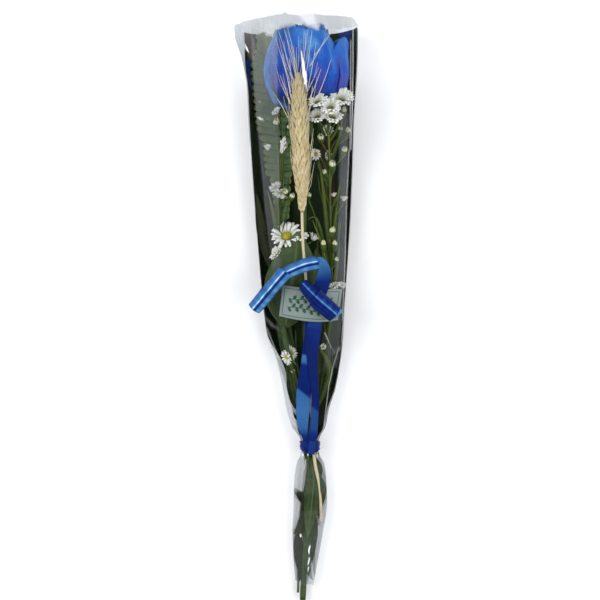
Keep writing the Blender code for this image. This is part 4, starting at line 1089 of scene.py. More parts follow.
def wheat():
    """An ear of bearded wheat: rows of slender pointed husks round its axis, and long awns."""
    ear = curve_through([(3.6, 73.2, 41.5), (3.6, 91.3, 45.0), (2.8, 114.6, 51.0),
                         (2.0, 137.6, 56.8), (1.2, 160.6, 62.2), (0.8, 183.5, 66.4)], 200)
    ahead = directions(ear)
    straw = [(19.4, -174.7, 9.8), (18.6, -160.6, 13.0), (16.6, -140.8, 14.4), (14.2, -128, 14.8),
             neck_point("wheat"), neck_point("wheat", -99), (10.6, -76, 18.4), (8.4, -23.5, 29.0),
             (6.4, 24, 34.6), (4.4, 48, 37.4), (3.6, 73.2, 41.5), tuple(ear[30])]
    rng = np.random.default_rng(11)
    surface = Surface()
    surface.tube(curve_through(straw, 110), np.linspace(1.35, 1.05, 110), 10, 1.35)
    surface.tube(ear[::8], 1.0, 6, 0.0)
    levels = 31
    for level in range(levels):
        s = level / (levels - 1)
        k = int(2 + s * 184)
        full = lookup(EAR_FULLNESS, s)
        for column in range(6):
            stagger = 8.0 if level % 2 else -8.0
            turn = math.radians(-82 + 33 * column + stagger + rng.uniform(-5, 5))
            out = np.array((math.sin(turn), 0.0, math.cos(turn)))
            lean = 0.27 + 0.20 * abs(math.sin(turn)) + rng.uniform(-0.05, 0.06)
            lean = lean * (0.35 + 0.65 * min(1.0, full))
            root = ear[k] + out * (2.7 * full) + (0.0, rng.uniform(-1.2, 1.2), 0.0)
            direction = unit(ahead[k] + out * lean + (rng.uniform(-0.06, 0.06), 0.0, 0.0))
            length = 8.8 * (0.7 + 0.3 * full)
            profile = [(a * length / HUSK[-1][0], r * (0.75 + 0.25 * full)) for a, r in HUSK]
            surface.turned(root, direction, profile, 7, rng.uniform(0.0, 0.9))
            if rng.uniform() > AWN_SHARE:
                continue
            start = root + direction * (length - 0.6)
            fan = smooth_step((s - 0.55) / 0.45)
            reach = (26.0 + 9.0 * fan) * rng.uniform(0.6, 1.12)
            spread = math.sin(turn) * (4.0 + 9.0 * fan) * rng.uniform(0.3, 1.2)
            spread = spread + rng.uniform(-2.0, 2.0) * (1 + fan)
            end = start + (spread, reach, 0.0)
            end[1] = min(end[1], AWN_TOP_Y)
            end[2] = min(float(top_z(end[0], end[1])) - 2.4, start[2] + 0.30 * reach)
            middle = 0.5 * (start + end) + (0.14 * spread + rng.uniform(-0.6, 0.6), 0.0, 0.8)
            middle[2] = min(middle[2], float(top_z(middle[0], middle[1])) - 1.6)
            awn = curve_through([start, middle, end], 9)
            surface.tube(awn, np.linspace(*AWN_RADII, 9), 4, 1.8)
    for u0, v0, u1, v1 in LONG_AWNS:
        start, end = from_photo(u0, v0, 67.4), from_photo(u1, v1, 60.0)
        end[2] = float(top_z(end[0], end[1])) - 2.2
        awn = curve_through([start, 0.5 * (start + end) + (0.5, 0.0, 1.6), end], 10)
        surface.tube(awn, np.linspace(*LONG_AWN_RADII, 10), 4, 2.0)
    surface.build("wheat_ear_husks", wheat_material(), "wheat_straw", "wheat_ear")


# Asters

# The diameter of the head that the discs and cups are drawn for. Closed heads have smaller ones.
HEAD_DIAMETER, CLOSED_LIFT, CLOSED_SIZE = 18.0, 0.44, 0.55


def head_axes(facing):
    axis = unit(np.array(facing, float))
    helper = np.array((0.0, 0.0, 1.0)) if abs(axis[2]) < 0.8 else np.array((0.0, 1.0, 0.0))
    side = unit(np.cross(helper, axis))
    return axis, side, np.cross(axis, side)


def aster(rays_surface, discs, greens, centre, facing, diameter, count, rng, lift, thin):
    """A head: two rings of white rays, a domed yellow disc of florets, and a green cup.

    lift closes its rays, and thin scales their width.
    """
    axis, side, other = head_axes(facing)
    centre = np.array(centre, float)
    size = diameter / HEAD_DIAMETER
    for ring, (share, more, length) in enumerate(((1.0, 0.0, 1.0), (0.7, 0.16, 0.86))):
        total = int(round(count * 1.5 * share))
        for k in range(total):
            turn = 2 * math.pi * (k + 0.5 * ring + rng.uniform(-0.18, 0.18)) / total
            out = around(turn, side, other)
            cross = np.cross(axis, out)
            reach = 0.5 * diameter * length * rng.uniform(0.84, 1.05)
            start = 0.13 * diameter
            v = np.linspace(0, 1, 7)
            opened = math.sqrt(max(0.1, 1.0 - (0.8 * (lift + more)) ** 2))
            along = start + (reach - start) * v * opened
            rise = (lift + more + rng.uniform(-0.08, 0.08)) * reach * np.sin(1.9 * v)
            rise = rise + 0.4 * ring * size
            widest = min(2.7 * size, 2 * math.pi * reach / total * 0.86)
            half = 0.5 * widest * np.sin(math.pi * (0.12 + 0.80 * v)) ** 0.7
            u = np.linspace(-1, 1, 3)
            middle = centre + out * along[:, None, None] + axis * rise[:, None, None]
            cupped = axis * (0.18 * half[:, None] * u**2)[..., None]
            grid = middle + cross * (thin * half[:, None] * u)[..., None] + cupped
            rays_surface.slab(grid, 0.3, rng.uniform(0, 1))
    size *= CLOSED_SIZE if lift > CLOSED_LIFT else 1.0
    dome = [(-0.6, 2.2), (0.4, 2.5), (1.0, 2.1), (1.5, 1.3), (1.7, 0.2)]
    discs.turned(centre, axis, scaled(dome, size), 12, 0.5)
    florets = 26
    for k in range(florets):
        turn, radius = SPIRAL_TURN * k, 2.45 * size * math.sqrt((k + 0.5) / florets)
        out = around(turn, side, other)
        foot = centre + out * radius + axis * (1.55 * size - 0.16 * radius * radius / size)
        floret = [(-0.3, 0.34 * size), (0.35 * size, 0.34 * size), (0.6 * size, 0.1 * size)]
        discs.turned(foot, axis + 0.3 * out, floret, 5)
    cup = [(-4.6, 0.4), (-3.2, 1.5), (-1.4, 2.3), (0.2, 2.5), (0.3, 2.0)]
    greens.turned(centre, axis, scaled(cup, size), 10, 1.3)
    for k in range(9):
        turn = 2 * math.pi * k / 9
        out = around(turn, side, other)
        root = centre + out * 1.6 * size - axis * 1.8 * size
        end = centre + out * 3.2 * size + axis * (0.5 + 2.0 * lift) * size
        middle = 0.5 * (root + end) + out * 0.4 * size
        greens.slab(blade([root, middle, end], 1.1 * size, 5, 3, up=out), 0.25, 1.2)


def bud(rays_surface, greens, centre, facing, size, rng):
    """A closed bud: cream ray tips standing out of a plump yellow-green cup."""
    axis, side, other = head_axes(facing)
    centre = np.array(centre, float)
    cup = [(-3.4, 0.3), (-2.2, 0.9), (-0.4, 1.45), (1.2, 1.5), (2.3, 1.1), (2.6, 0.5)]
    greens.turned(centre, axis, scaled(cup, size), 10, 1.5)
    for k in range(11):
        turn = 2 * math.pi * (k + rng.uniform(-0.25, 0.25)) / 11
        out = around(turn, side, other)
        root = centre + out * 1.2 * size + axis * 0.6 * size
        end = centre + out * rng.uniform(0.3, 0.9) * size + axis * rng.uniform(2.9, 4.0) * size
        middle = 0.5 * (root + end) + out * 0.35 * size
        ray = blade([root, middle, end], 0.85 * size, 5, 3, up=out, tip=0.02)
        rays_surface.slab(ray, 0.2, rng.uniform(1.2, 1.9))


def spray(name, through, heads, buds, leaves, mats, extra):
    """A branching stem with heads, buds and narrow leaves, as three pieces: rays, discs and greens.

    Heads: pixel place, height, facing, diameter, rays, how closed, ray width, share of the stem.
    Buds: pixel place, height, facing, size, share of the stem. Leaves: share, middle, end, width.
    extra is the number of narrow leaves that are placed at random.
    """
    last = 119
    rng = np.random.default_rng(len(name) * 13 + len(heads))
    rays, discs, greens = Surface(), Surface(), Surface()
    line = curve_through(through, last + 1)
    greens.tube(line, np.linspace(1.1, 0.7, last + 1), 8, 0.4)

    def branch(centre, facing, at, back):
        k = int(at * last)
        start = line[k]
        along = unit(line[min(last, k + 3)] - line[k - 2])
        end = np.array(centre, float) - unit(np.array(facing, float)) * back
        reach = np.linalg.norm(end - start)
        middle = start + along * 0.45 * reach + (end - start) * 0.18
        greens.tube(curve_through([start, middle, end], 16), np.linspace(0.6, 0.4, 16), 6, 0.9)

    for u, v, z, facing, diameter, count, lift, thin, at in heads:
        centre = from_photo(u, v, z)
        aster(rays, discs, greens, centre, facing, diameter, count, rng, lift, thin)
        branch(centre, facing, at, 3.6 * diameter / HEAD_DIAMETER)
    for u, v, z, facing, size, at in buds:
        centre = from_photo(u, v, z)
        bud(rays, greens, centre, facing, size, rng)
        branch(centre, facing, at, 2.2 * size)
    for at, middle, end, width in leaves:
        leaf = blade([line[int(at * last)], middle, end], width, 14, 5, cup=0.2, tip=0.08, root=0.3)
        greens.slab(leaf, 0.4, 0.6)
    for _ in range(extra):
        at = int(rng.uniform(0.45, 0.97) * last)
        side = rng.uniform(-1, 1)
        reach = rng.uniform(14, 40)
        end = line[at] + (side * 11.0, reach, rng.uniform(-6.0, 2.0))
        end[0] = np.clip(end[0], -30.0, 38.0)
        lowest, highest = float(floor_z(end[0], end[1])) + 6.0, float(top_z(end[0], end[1])) - 8.0
        end[2] = np.clip(end[2], lowest, max(8.0, highest))
        middle = 0.5 * (line[at] + end) + (side * 2.0, 0.0, 1.0)
        width = rng.uniform(1.2, 2.8)
        leaf = blade([line[at], middle, end], width, 12, 3, cup=0.1, tip=0.1, root=0.4)
        greens.slab(leaf, 0.35, rng.uniform(0, 0.7))
    for surface, part in ((greens, "greens"), (rays, "rays"), (discs, "discs")):
        surface.build(name + "_" + part, mats[part], "aster_sprays", name)


# Heads and buds of the three sprays, placed as the docstring of spray says.
RIGHT_HEADS = [
    (318.0, 104.0, 57, (-0.15, 0.66, 0.73), 18, 12, 0.50, 1.1, 0.97),
    (341.0, 102.5, 46, (0.0, 0.70, 0.7), 24, 16, 0.50, 0.9, 0.97),
    (330.5, 109.5, 55, (0.0, 0.62, 0.75), 20, 14, 0.50, 1.1, 0.98),
    (318.0, 118.5, 52, (-0.25, 0.62, 0.74), 17, 12, 0.48, 1.1, 0.94),
    (332.0, 119.0, 49, (0.15, 0.60, 0.76), 18, 12, 0.48, 1.2, 0.96),
    (327.0, 130.0, 33, (0.1, -0.4, 0.9), 11, 9, 0.3, 1.0, 0.90),
    (316.0, 154.0, 40, (-0.3, -0.2, 0.9), 10, 8, 0.35, 1.0, 0.82),
    (326.5, 154.5, 34, (0.7, -0.2, 0.6), 9, 7, 0.4, 1.0, 0.82),
    (334.0, 196.5, 30, (-0.2, 0.9, 0.3), 7, 7, 0.7, 1.0, 0.70),
    (343.5, 201.0, 24, (0.1, 0.9, 0.3), 8, 8, 0.8, 0.9, 0.66),
    (334.5, 288.5, 33, (-0.2, 0.85, 0.5), 12, 10, 0.5, 0.8, 0.42),
    (341.5, 287.5, 26, (0.2, 0.85, 0.5), 10, 9, 0.6, 0.7, 0.42),
]
RIGHT_BUDS = [
    (343.0, 113.5, 42, (0.2, 0.9, 0.4), 1.6, 0.94), (321.0, 139.5, 47, (-0.1, 0.6, 0.8), 1.7, 0.88),
    (339.5, 132.0, 38, (0.2, 0.9, 0.3), 1.4, 0.88), (347.0, 134.0, 30, (0.2, 0.9, 0.3), 1.6, 0.86),
    (332.3, 167.5, 40, (0.0, 0.8, 0.6), 1.9, 0.78), (326.5, 174.5, 36, (-0.5, 0.8, 0.3), 1.3, 0.77),
    (343.0, 153.5, 32, (0.3, 0.9, 0.3), 1.7, 0.82), (331.0, 233.5, 34, (0.3, 0.8, 0.5), 1.7, 0.58),
    (323.5, 247.0, 33, (0.0, 1.0, 0.2), 1.5, 0.52), (334.5, 247.0, 30, (0.1, 1.0, 0.2), 1.5, 0.52),
]
LEFT_HEADS = [
    (278.0, 112.5, 42, (-0.65, 0.6, 0.5), 10, 9, 0.50, 1.1, 0.99),
    (287.0, 145.5, 40, (-0.95, 0.15, 0.35), 15, 10, 0.45, 1.2, 0.93),
    (268.0, 150.0, 31, (-0.1, 0.9, 0.5), 8, 8, 0.85, 0.9, 0.90),
    (277.0, 189.0, 34, (-0.5, 0.6, 0.6), 13, 15, 0.50, 0.45, 0.80),
    (281.5, 190.5, 36, (0.0, -0.85, 0.5), 15, 8, 0.40, 1.3, 0.80),
    (286.8, 237.0, 25, (-0.10, 0.56, 0.82), 28, 11, 0.26, 0.8, 0.68),
    (303.0, 239.0, 33, (-0.25, 0.7, 0.6), 13, 8, 0.45, 1.2, 0.66),
    (312.5, 240.0, 30, (0.5, 0.8, 0.2), 12, 5, 0.7, 1.0, 0.66),
    (279.0, 254.0, 25, (-0.75, 0.55, 0.4), 16, 10, 0.40, 1.0, 0.64),
    (287.5, 357.0, 25, (-0.7, -0.35, 0.6), 13, 10, 0.20, 0.75, 0.40),
    (290.5, 353.0, 25, (0.6, 0.35, 0.7), 13, 10, 0.20, 0.75, 0.40),
]
LEFT_BUDS = [
    (276.5, 125.5, 40, (0.0, 0.8, 0.6), 1.9, 0.96), (289.5, 129.0, 44, (-0.3, 0.8, 0.5), 1.0, 0.95),
    (286.5, 193.0, 40, (-0.3, 0.4, 0.8), 1.6, 0.80), (292.0, 197.5, 42, (0.1, 0.6, 0.8), 1.4, 0.80),
]
LOW_HEADS = [(322.5, 347.0, 23, (0.3, 0.3, 0.9), 6, 7, 0.5, 0.8, 0.62)]
LOW_BUDS = [(309.0, 197.0, 33, (0.1, 0.7, 0.6), 1.1, 0.98),
            (336.0, 262.0, 27, (0.2, 0.9, 0.3), 1.2, 0.8)]


def sprays():
    mats = {
        "rays": ray_material(),
        "discs": disc_material(),
        "greens": green_material("aster_green", (0.013, 0.026, 0.004), (0.05, 0.08, 0.014),
                                 (0.19, 0.22, 0.045), 0.5, 12.0),
    }
    spray("asters_right",
          [(17.4, -178, 8.2), (16.8, -160, 9.0), *through_neck("asters_right"), (21.0, -50, 15.0),
           (25.5, 0, 20.0), (26.5, 50, 25.0), (26.0, 90, 33.0), (25.0, 125, 43.0),
           (24.0, 142, 47.0)],
          RIGHT_HEADS, RIGHT_BUDS,
          [(0.60, (29.5, 62, 28.0), (31.5, 78, 31.0), 3.0),
           (0.66, (20.0, 96, 34.0), (17.0, 112, 38.0), 3.2),
           (0.55, (32.0, 34, 23.0), (34.0, 52, 23.0), 3.4),
           (0.64, (16.0, 68.0, 30.0), (8.6, 68.6, 31.0), 2.6),
           (0.62, (31.0, 76.0, 26.0), (33.4, 92.0, 27.0), 3.4),
           (0.30, (26.0, -52.0, 20.0), (15.5, -30.0, 22.0), 4.6)],
          mats, 34)
    spray("asters_left",
          [(8.8, -186, 11.6), (8.6, -160, 12.2), (8.6, -143, 12.4),
           *through_neck("asters_left", -127), (2.0, -60, 16.6), (-7.0, -10, 19.4),
           (-13.0, 35, 22.0), (-15.0, 75, 28.0), (-15.0, 105, 32.0), (-15.5, 128, 34.0)],
          LEFT_HEADS, LEFT_BUDS,
          [(0.72, (-20.0, 76, 27.0), (-24.0, 92, 24.0), 3.0),
           (0.84, (-12.0, 112, 34.0), (-10.5, 132, 36.0), 3.0),
           (0.36, (-10.6, -34.0, 21.0), (-4.0, -50.0, 22.5), 3.4)],
          mats, 12)
    spray("asters_low",
          [(12.4, -190, 4.6), (13.0, -160, 4.6), *through_neck("asters_low"), (16.5, -60, 8.4),
           (17.0, -20, 14.0), (16.5, 15, 20.0), (16.5, 38, 25.0)],
          LOW_HEADS, LOW_BUDS,
          [(0.84, (21.0, 40, 28.0), (12.0, 68, 35.0), 2.8)],
          mats, 16)


# Leafy sprig


# The sprig's leaves: the blade's line, width, cup, tint and, for some, how blunt the tip is.
SPRIG_LEAVES = [
    ([(-9.6, -18, 24), (-7, 4, 30), (-2.6, 30, 33), (0.4, 59, 33.4)], 43, -0.22, 0.9),
    ([(6, -22, 17), (14, 6, 22), (18, 26, 24), (14, 45, 25)], 20, -0.2, 0),
    ([(-11.4, -13, 25), (-9.8, -28.8, 28.6), (-5.9, -39.8, 29), (-0.4, -48.5, 26.6)], 3.6, -0.1, 1),
    ([(-4.7, -85.6, 10), (-3.4, -87.4, 10.6), (-1.8, -90, 10.8), (0.4, -93, 10.4)], 2.6, 0, -1),
    ([(-4.2, -96.2, 9.6), (-2.4, -98, 10), (0, -101, 10.2), (2.8, -104.8, 9.8)], 2.8, 0, -1),
    ([(-2.6, -148, 8.4), (-0.6, -150, 9), (1.6, -153, 9.2), (3.4, -160, 9)], 5, 0, -1),
    ([(-2, -64, 14.4), (-8, -40, 9.6), (-13, -18, 10), (-16, 4, 12)], 9, 0.2, 0.1),
    ([(5, -90, 12), (-3, -74, 9.6), (-6, -58, 9.4), (-9, -44, 9.4)], 8, 0.2, 0.1),
    ([(9, -92, 12), (18, -66, 12), (22, -40, 13), (24, -16, 15)], 12, 0.2, -0.3),
    ([(8, -96, 12), (13, -74, 10), (15, -50, 12), (14, -22, 14)], 8, 0.2, 0.5),
    ([(-20, 26, 12), (-26, 48, 13), (-30, 68, 14), (-33, 90, 15)], 9, -0.1, -0.7),
    ([(10, -121, 12.6), (13, -138, 15.2), (11.8, -156, 15), (8, -188, 12.4)], 13.5, -0.16, 0),
    ([(9, -124, 11), (9, -146, 12), (6, -166, 11), (0.8, -185.6, 8.6)], 9, -0.1, -0.7, 0.9),
    ([(12, -121, 12), (17, -130, 12.6), (17, -138, 12), (14, -147, 11.4)], 5.6, -0.2, -0.1),
    ([(13, -132, 12), (19, -145, 12), (18.8, -156, 11.4), (14.6, -171, 10.6)], 7.4, -0.2, 0),
    ([(11, -160, 9), (10.6, -178, 9.4), (9.8, -196, 8.8), (8.8, -213, 7)], 12, -0.1, 0.1),
    ([(1.6, -178, 7.2), (0.6, -190, 6.8), (1, -206, 6.2), (3.4, -222, 5.4)], 7.4, 0.1, -0.8, 0.7),
    ([(10, -184, 12), (12.4, -196, 11), (13.2, -206, 9.6), (14, -219, 7.8)], 3, 0, -0.3),
    ([(7, -205, 9), (9, -214, 9.2), (10.6, -219, 9), (12.6, -222, 8.4)], 4.4, 0, 0.6),
]


def sprig():
    surface = Surface()
    main_line = [(4.6, -150, 10.8), *through_neck("sprig"), (-0.5, -70, 14.0), (-6.0, -45, 16.0),
                 (-12.0, -20, 22.5)]
    surface.tube(curve_through(main_line, 60), np.linspace(1.1, 0.9, 60), 8, 0.5)
    for through, width, cup, tint, *blunt in SPRIG_LEAVES:
        tip = blunt[0] if blunt else 0.04
        surface.slab(blade(through, width, 36, 15, cup=cup, wave=0.02 * width, tip=tip), 0.5, tint)
    mat = green_material("leaf_green", (0.012, 0.024, 0.006), (0.048, 0.076, 0.028),
                         (0.10, 0.14, 0.055), 0.42, 2.0)
    surface.build("sprig_leaves", mat, "leaf_green", "leaf_sprig")


# Ribbon and sticker


def satin_sheet(surface, grid, tint):
    """Ribbon on a grid of points, with a tint at each of them."""
    surface.slab(grid, RIBBON_THICKNESS, np.tile(np.ravel(tint), 2), taper=0.9)


def ribbon_strip(surface, centre_line, normals, widths, tint, crown):
    """A strip of ribbon along a line. crown raises its middle."""
    columns = 9
    ahead = directions(centre_line)
    side = unit(np.cross(ahead, normals))
    u = np.linspace(-1, 1, columns)
    half = 0.5 * np.broadcast_to(widths, len(centre_line))
    grid = centre_line[:, None] + side[:, None] * (half[:, None] * u)[..., None]
    grid = grid - normals[:, None] * (crown * (u**2 - 0.5))[None, :, None]
    satin_sheet(surface, grid, np.full(len(centre_line) * columns, tint))


# Painted light and shade round a curl's tube, with bright highlight lines where it faces the light:
# degrees from its top towards its left, and the tint there.
AZURE_CURL_PAINTED_LIGHT = np.array([
    (-180, 0.2), (-95, 0.25), (-80, 0.42), (-30, 0.60), (-16, 0.72), (-11, 1.0), (-7, 1.0),
    (-3, 0.6), (8, 0.12), (14, 0.15), (24, 0.72), (48, 0.80), (70, 0.62), (90, 0.35), (180, 0.2),
])
ROYAL_CURL_PAINTED_LIGHT = np.array([
    (-180, 0.05), (-85, 0.05), (-40, 0.1), (-4, 0.14), (5, 0.6), (8, 0.9), (11, 0.45), (18, 0.3),
    (30, 0.26), (40, 0.2), (80, 0.14), (180, 0.05),
])


def curl(surface, axis_through, seams, radii, start_slant, painted_light_table):
    """A curled tail: rolled lengths of ribbon, each slipped over the end of the one before.

    seams are shares of the axis. radii holds each length's radius at its start and end, start_slant
    is how far its first edge slants, and painted_light_table is one of the tables above, the tube's
    painted light and shade.
    """
    axis = curve_through(axis_through, 400)
    for k in range(len(seams) - 1):
        rows, columns = 26, 84
        overlap = 0.05 if k < len(seams) - 2 else 0.0
        first, last = max(0.0, seams[k] - 0.02), min(1.0, seams[k + 1] + overlap)
        share = np.linspace(0, 1, rows)
        at = axis[np.round((first + (last - first) * share) * 399).astype(int)]
        straight = at[0] + (at[-1] - at[0]) * share[:, None]
        line = 0.3 * at + 0.7 * straight
        ahead = directions(line)
        up = unit(np.array((0.0, 0.0, 1.0)) - ahead * ahead[:, 2:3])
        left = unit(np.cross(up, ahead))
        lap = np.linspace(0.0, 1.0, columns)
        turn = math.radians(12.0) + 2 * math.pi * 1.04 * (lap - 1.0)
        radius = (radii[k][0] + (radii[k][1] - radii[k][0]) * share)[:, None]
        radius = radius * (1.0 - 0.05 * (1 - lap))[None, :]
        radius = radius + 0.05 * np.sin(34.0 * share)[:, None]
        out = np.cos(turn)[None, :, None] * up[:, None]
        out = out + np.sin(turn)[None, :, None] * left[:, None]
        slant = start_slant * np.cos(turn - 0.6)[None, :, None] * ahead[:, None]
        slant = slant * ((1 - share) ** 2)[:, None, None]
        grid = line[:, None] + out * radius[..., None] - slant
        degrees = (np.degrees(turn) + 180.0) % 360.0 - 180.0
        # Painted light and shade round the tube, from the table.
        tint = lookup(painted_light_table, degrees)
        # Painted light rippling along each length, and painted shade at its start, along the seam.
        tint = tint[None, :] + 0.05 * np.sin(21.0 * share + k)[:, None]
        tint = tint - 0.16 * np.exp(-share / 0.06)[:, None]
        satin_sheet(surface, grid, np.clip(tint, 0, 1))


def tail(surface, table, lift, count, painted_shading):
    """A flat ribbon tail on the sleeve.

    Rows of the table: y, left x and right x. Rows of painted_shading, the tail's painted light and
    shade: y at its left, at its right, tint.
    """
    table = np.array(table, float)[::-1]
    ys = np.linspace(table[0, 0], table[-1, 0], count)
    left, right = (smooth_lookup(table, ys, k) for k in (1, 2))
    share = np.linspace(0.0, 1.0, 15)
    x = left[:, None] * (1 - share) + right[:, None] * share
    y = ys[:, None] + 0.0 * x
    z = top_z(x, y) + lift
    painted_shading = np.array(painted_shading, float)[::-1]
    tint = np.empty(x.shape)
    for column, part in enumerate(share):
        at = painted_shading[:, 0] * (1 - part) + painted_shading[:, 1] * part
        tint[:, column] = np.interp(ys, at, painted_shading[:, 2])
    satin_sheet(surface, np.stack([x, y, z], axis=-1)[:, ::-1], tint[:, ::-1])


# The flat tails: y, left x and right x. Their painted light and shade: y at the left edge, y at the
# right, tint.
RIGHT_TAIL = [
    (2.0, 11.0, 21.4), (-15.4, 8.0, 19.2), (-33.8, 5.8, 17.0), (-41.0, 7.3, 16.2),
    (-50.0, 8.2, 16.2), (-58.6, 9.6, 16.4), (-66.6, 10.8, 16.8), (-78.0, 11.0, 17.4),
    (-87.0, 10.8, 16.8), (-98.0, 9.8, 16.2), (-107.5, 8.6, 15.6), (-112.0, 8.6, 14.6),
]
RIGHT_PAINTED_SHADING = [
    (2.0, 2.0, 0.1), (-16.0, -14.0, 0.3), (-22.0, -40.0, 0.08), (-78.0, -82.0, 0.06),
    (-81.0, -86.0, 0.36), (-98.0, -100.0, 0.34), (-108.0, -108.0, 0.18), (-112.0, -112.0, 0.1),
]
LEFT_TAIL = [
    (17.0, 2.4, 9.0), (6.0, 5.2, 15.0), (-15.4, 6.0, 17.0), (-33.8, 4.1, 14.4), (-39.6, 3.6, 13.6),
    (-51.5, 1.9, 12.8), (-61.0, 0.3, 11.6), (-72.2, -0.9, 10.7), (-83.4, -1.0, 9.8),
    (-94.8, 0.0, 8.5), (-100.4, 1.2, 8.2), (-107.6, 4.4, 8.4), (-112.0, 6.0, 9.6),
]
LEFT_PAINTED_SHADING = [
    (17.0, 17.0, 0.2), (-15.0, -15.0, 0.15), (-38.0, -38.0, 0.12), (-39.5, -40.5, 0.6),
    (-44.0, -46.0, 0.55), (-47.0, -50.0, 0.2), (-64.0, -72.0, 0.08), (-66.5, -75.5, 0.5),
    (-84.0, -86.0, 0.56), (-98.0, -98.0, 0.5), (-108.0, -108.0, 0.14), (-112.0, -112.0, 0.1),
]
# Painted light and shade on the long tail's bend, from its start to the curl, and the tint there.
BEND_PAINTED_SHADING = np.array([(0.0, 0.12), (0.22, 0.2), (0.45, 0.38), (0.62, 0.55), (0.8, 0.7),
                        (1.0, 0.6)])
# The knot's wraps: start and end in pixels, width, height over the sleeve and tint, which paints
# their shade.
KNOT_WRAPS = [
    ((317.0, 443.0), (303.5, 449.5), 5.4, 2.0, 0.08),
    ((302.0, 442.5), (313.5, 449.5), 5.0, 2.7, 0.18),
    ((313.0, 440.6), (311.2, 454.0), 6.6, 3.4, 0.27),
]


def neck_band(surface):
    """The ribbon's band round the neck, closed round, with creases across it."""
    rows, count, top, bottom = 15, 72, -108.8, -118.4
    # Its top edge is lower and its bottom edge higher at the sides, and the bottom hangs elsewhere.
    side_narrow, side_drop, front_drop = 3.6, 1.0, 0.8
    turns = np.linspace(0, 2 * math.pi, count, endpoint=False)
    ys = np.linspace(top, bottom, rows)[:, None]
    fold = 0.3 * np.sin(0.9 * ys + 2.4 * np.cos(turns)[None, :]) + 0.2
    down = np.linspace(0, 1, rows)[:, None]
    beside = np.abs(np.cos(turns))[None, :] ** 1.5
    levels = ys + beside * (side_narrow * down - side_drop) - front_drop * down * (1.0 - beside)
    angles = turns[None, :] + 0.0 * levels
    ring = sleeve_points(levels, angles, -1.1 - np.maximum(0.0, fold))
    inner = sleeve_points(levels, angles, -0.6)
    faces = grid_faces(rows, count, closed=True)
    n, last = rows * count, (rows - 1) * count
    closed = [face[::-1] for face in faces] + [tuple(k + n for k in face) for face in faces]
    rim = [(j, (j + 1) % count) for j in range(count)]
    closed += [(a, b, b + n, a + n) for a, b in rim]
    closed += [(last + b, last + a, last + a + n, last + b + n) for a, b in rim]
    across = np.tile(np.repeat(np.linspace(-1, 1, rows), count), 2)
    # Painted light and shade rippling across the band.
    shade = 0.13 + 0.12 * np.sin(1.3 * ys + 3.0 * np.cos(turns)[None, :])
    points = np.concatenate([ring.reshape(-1, 3), inner.reshape(-1, 3)])
    surface.add(points, closed, 0.0, across, np.tile(shade.reshape(-1), 2))


def ribbon():
    """The band and its knot, and the two tails: each flat on the sleeve and then curled."""
    mat = satin_material()
    lift = RIBBON_GAP + 0.2
    band = Surface()
    neck_band(band)
    for (u0, v0), (u1, v1), width, height, tint in KNOT_WRAPS:
        start, end = from_photo(u0, v0, 20.0), from_photo(u1, v1, 20.0)
        line = curve_through([start, 0.5 * (start + end), end], 16)
        arch = 0.5 * np.sin(np.linspace(0, math.pi, 16))
        line[:, 2] = top_z(line[:, 0], line[:, 1]) + height + arch
        normals = np.tile((0.0, 0.0, 1.0), (16, 1))
        ribbon_strip(band, line, normals, np.linspace(width, 0.8 * width, 16), tint, 0.3)
    band.build("satin_knot", mat, "satin_ribbon", "ribbon")

    right = Surface()
    tail(right, RIGHT_TAIL, lift + 0.75, 90, RIGHT_PAINTED_SHADING)
    inner_edge = curve_through([(12.2, 12.0, 43.4), (14.2, 19.5, 44.6), (16.2, 26.6, 47.6),
                                (16.2, 29.4, 49.8), (11.0, 29.6, 50.8)], 30)
    outer_edge = curve_through([(22.6, 8.0, 42.0), (26.0, 19.0, 43.4), (26.0, 29.0, 47.2),
                                (20.4, 37.4, 50.0), (12.0, 38.2, 50.6)], 30)
    share = np.linspace(0, 1, 11)[None, :, None]
    bend = inner_edge[:, None] * (1 - share) + outer_edge[:, None] * share
    # Painted light and shade along the bend.
    shade = lookup(BEND_PAINTED_SHADING, np.linspace(0, 1, 30))
    satin_sheet(right, bend[:, ::-1], np.repeat(shade, 11))
    curl(right, [(15.6, 33.8, 50.4), (4.4, 34.8, 51.2), (-7.5, 28.1, 50.4), (-17.7, 17.8, 47.0),
                 (-28.0, 4.4, 41.0), (-34.0, -2.2, 38.0)],
         (0.0, 0.42, 0.75, 1.0), ((5.5, 5.0), (5.9, 5.3), (6.1, 5.6)), 1.2, AZURE_CURL_PAINTED_LIGHT)
    right.build("satin_long_tail", mat, "satin_ribbon", "ribbon")

    left = Surface()
    tail(left, LEFT_TAIL, lift, 100, LEFT_PAINTED_SHADING)
    curl(left, [(4.4, 16.4, 50.8), (12.8, 7.4, 51.2), (20.5, 0.6, 50.0), (29.4, -6.8, 47.0)],
         (0.0, 0.40, 1.0), ((4.6, 6.4), (7.6, 6.9)), 1.6, ROYAL_CURL_PAINTED_LIGHT)
    # The short curl's end, tinted azure as painted reflection.
    tip = [from_photo(334.5, 315.5, 47.0), from_photo(339.0, 311.5, 45.6),
           from_photo(343.4, 311.2, 43.6)]
    left.slab(blade(tip, 5.0, 10, 5, root=0.9, tip=0.05, up=(0.0, 0.2, 1.0)), RIBBON_THICKNESS, 0.8)
    left.build("satin_short_tail", mat, "satin_ribbon", "ribbon")


# The sticker's corners: top left, top right, bottom left and bottom right, x and y.
LABEL_CORNERS = np.array([(-11.8, 16.3), (35.6, 13.1), (-14.6, -8.3), (32.1, -11.4)])


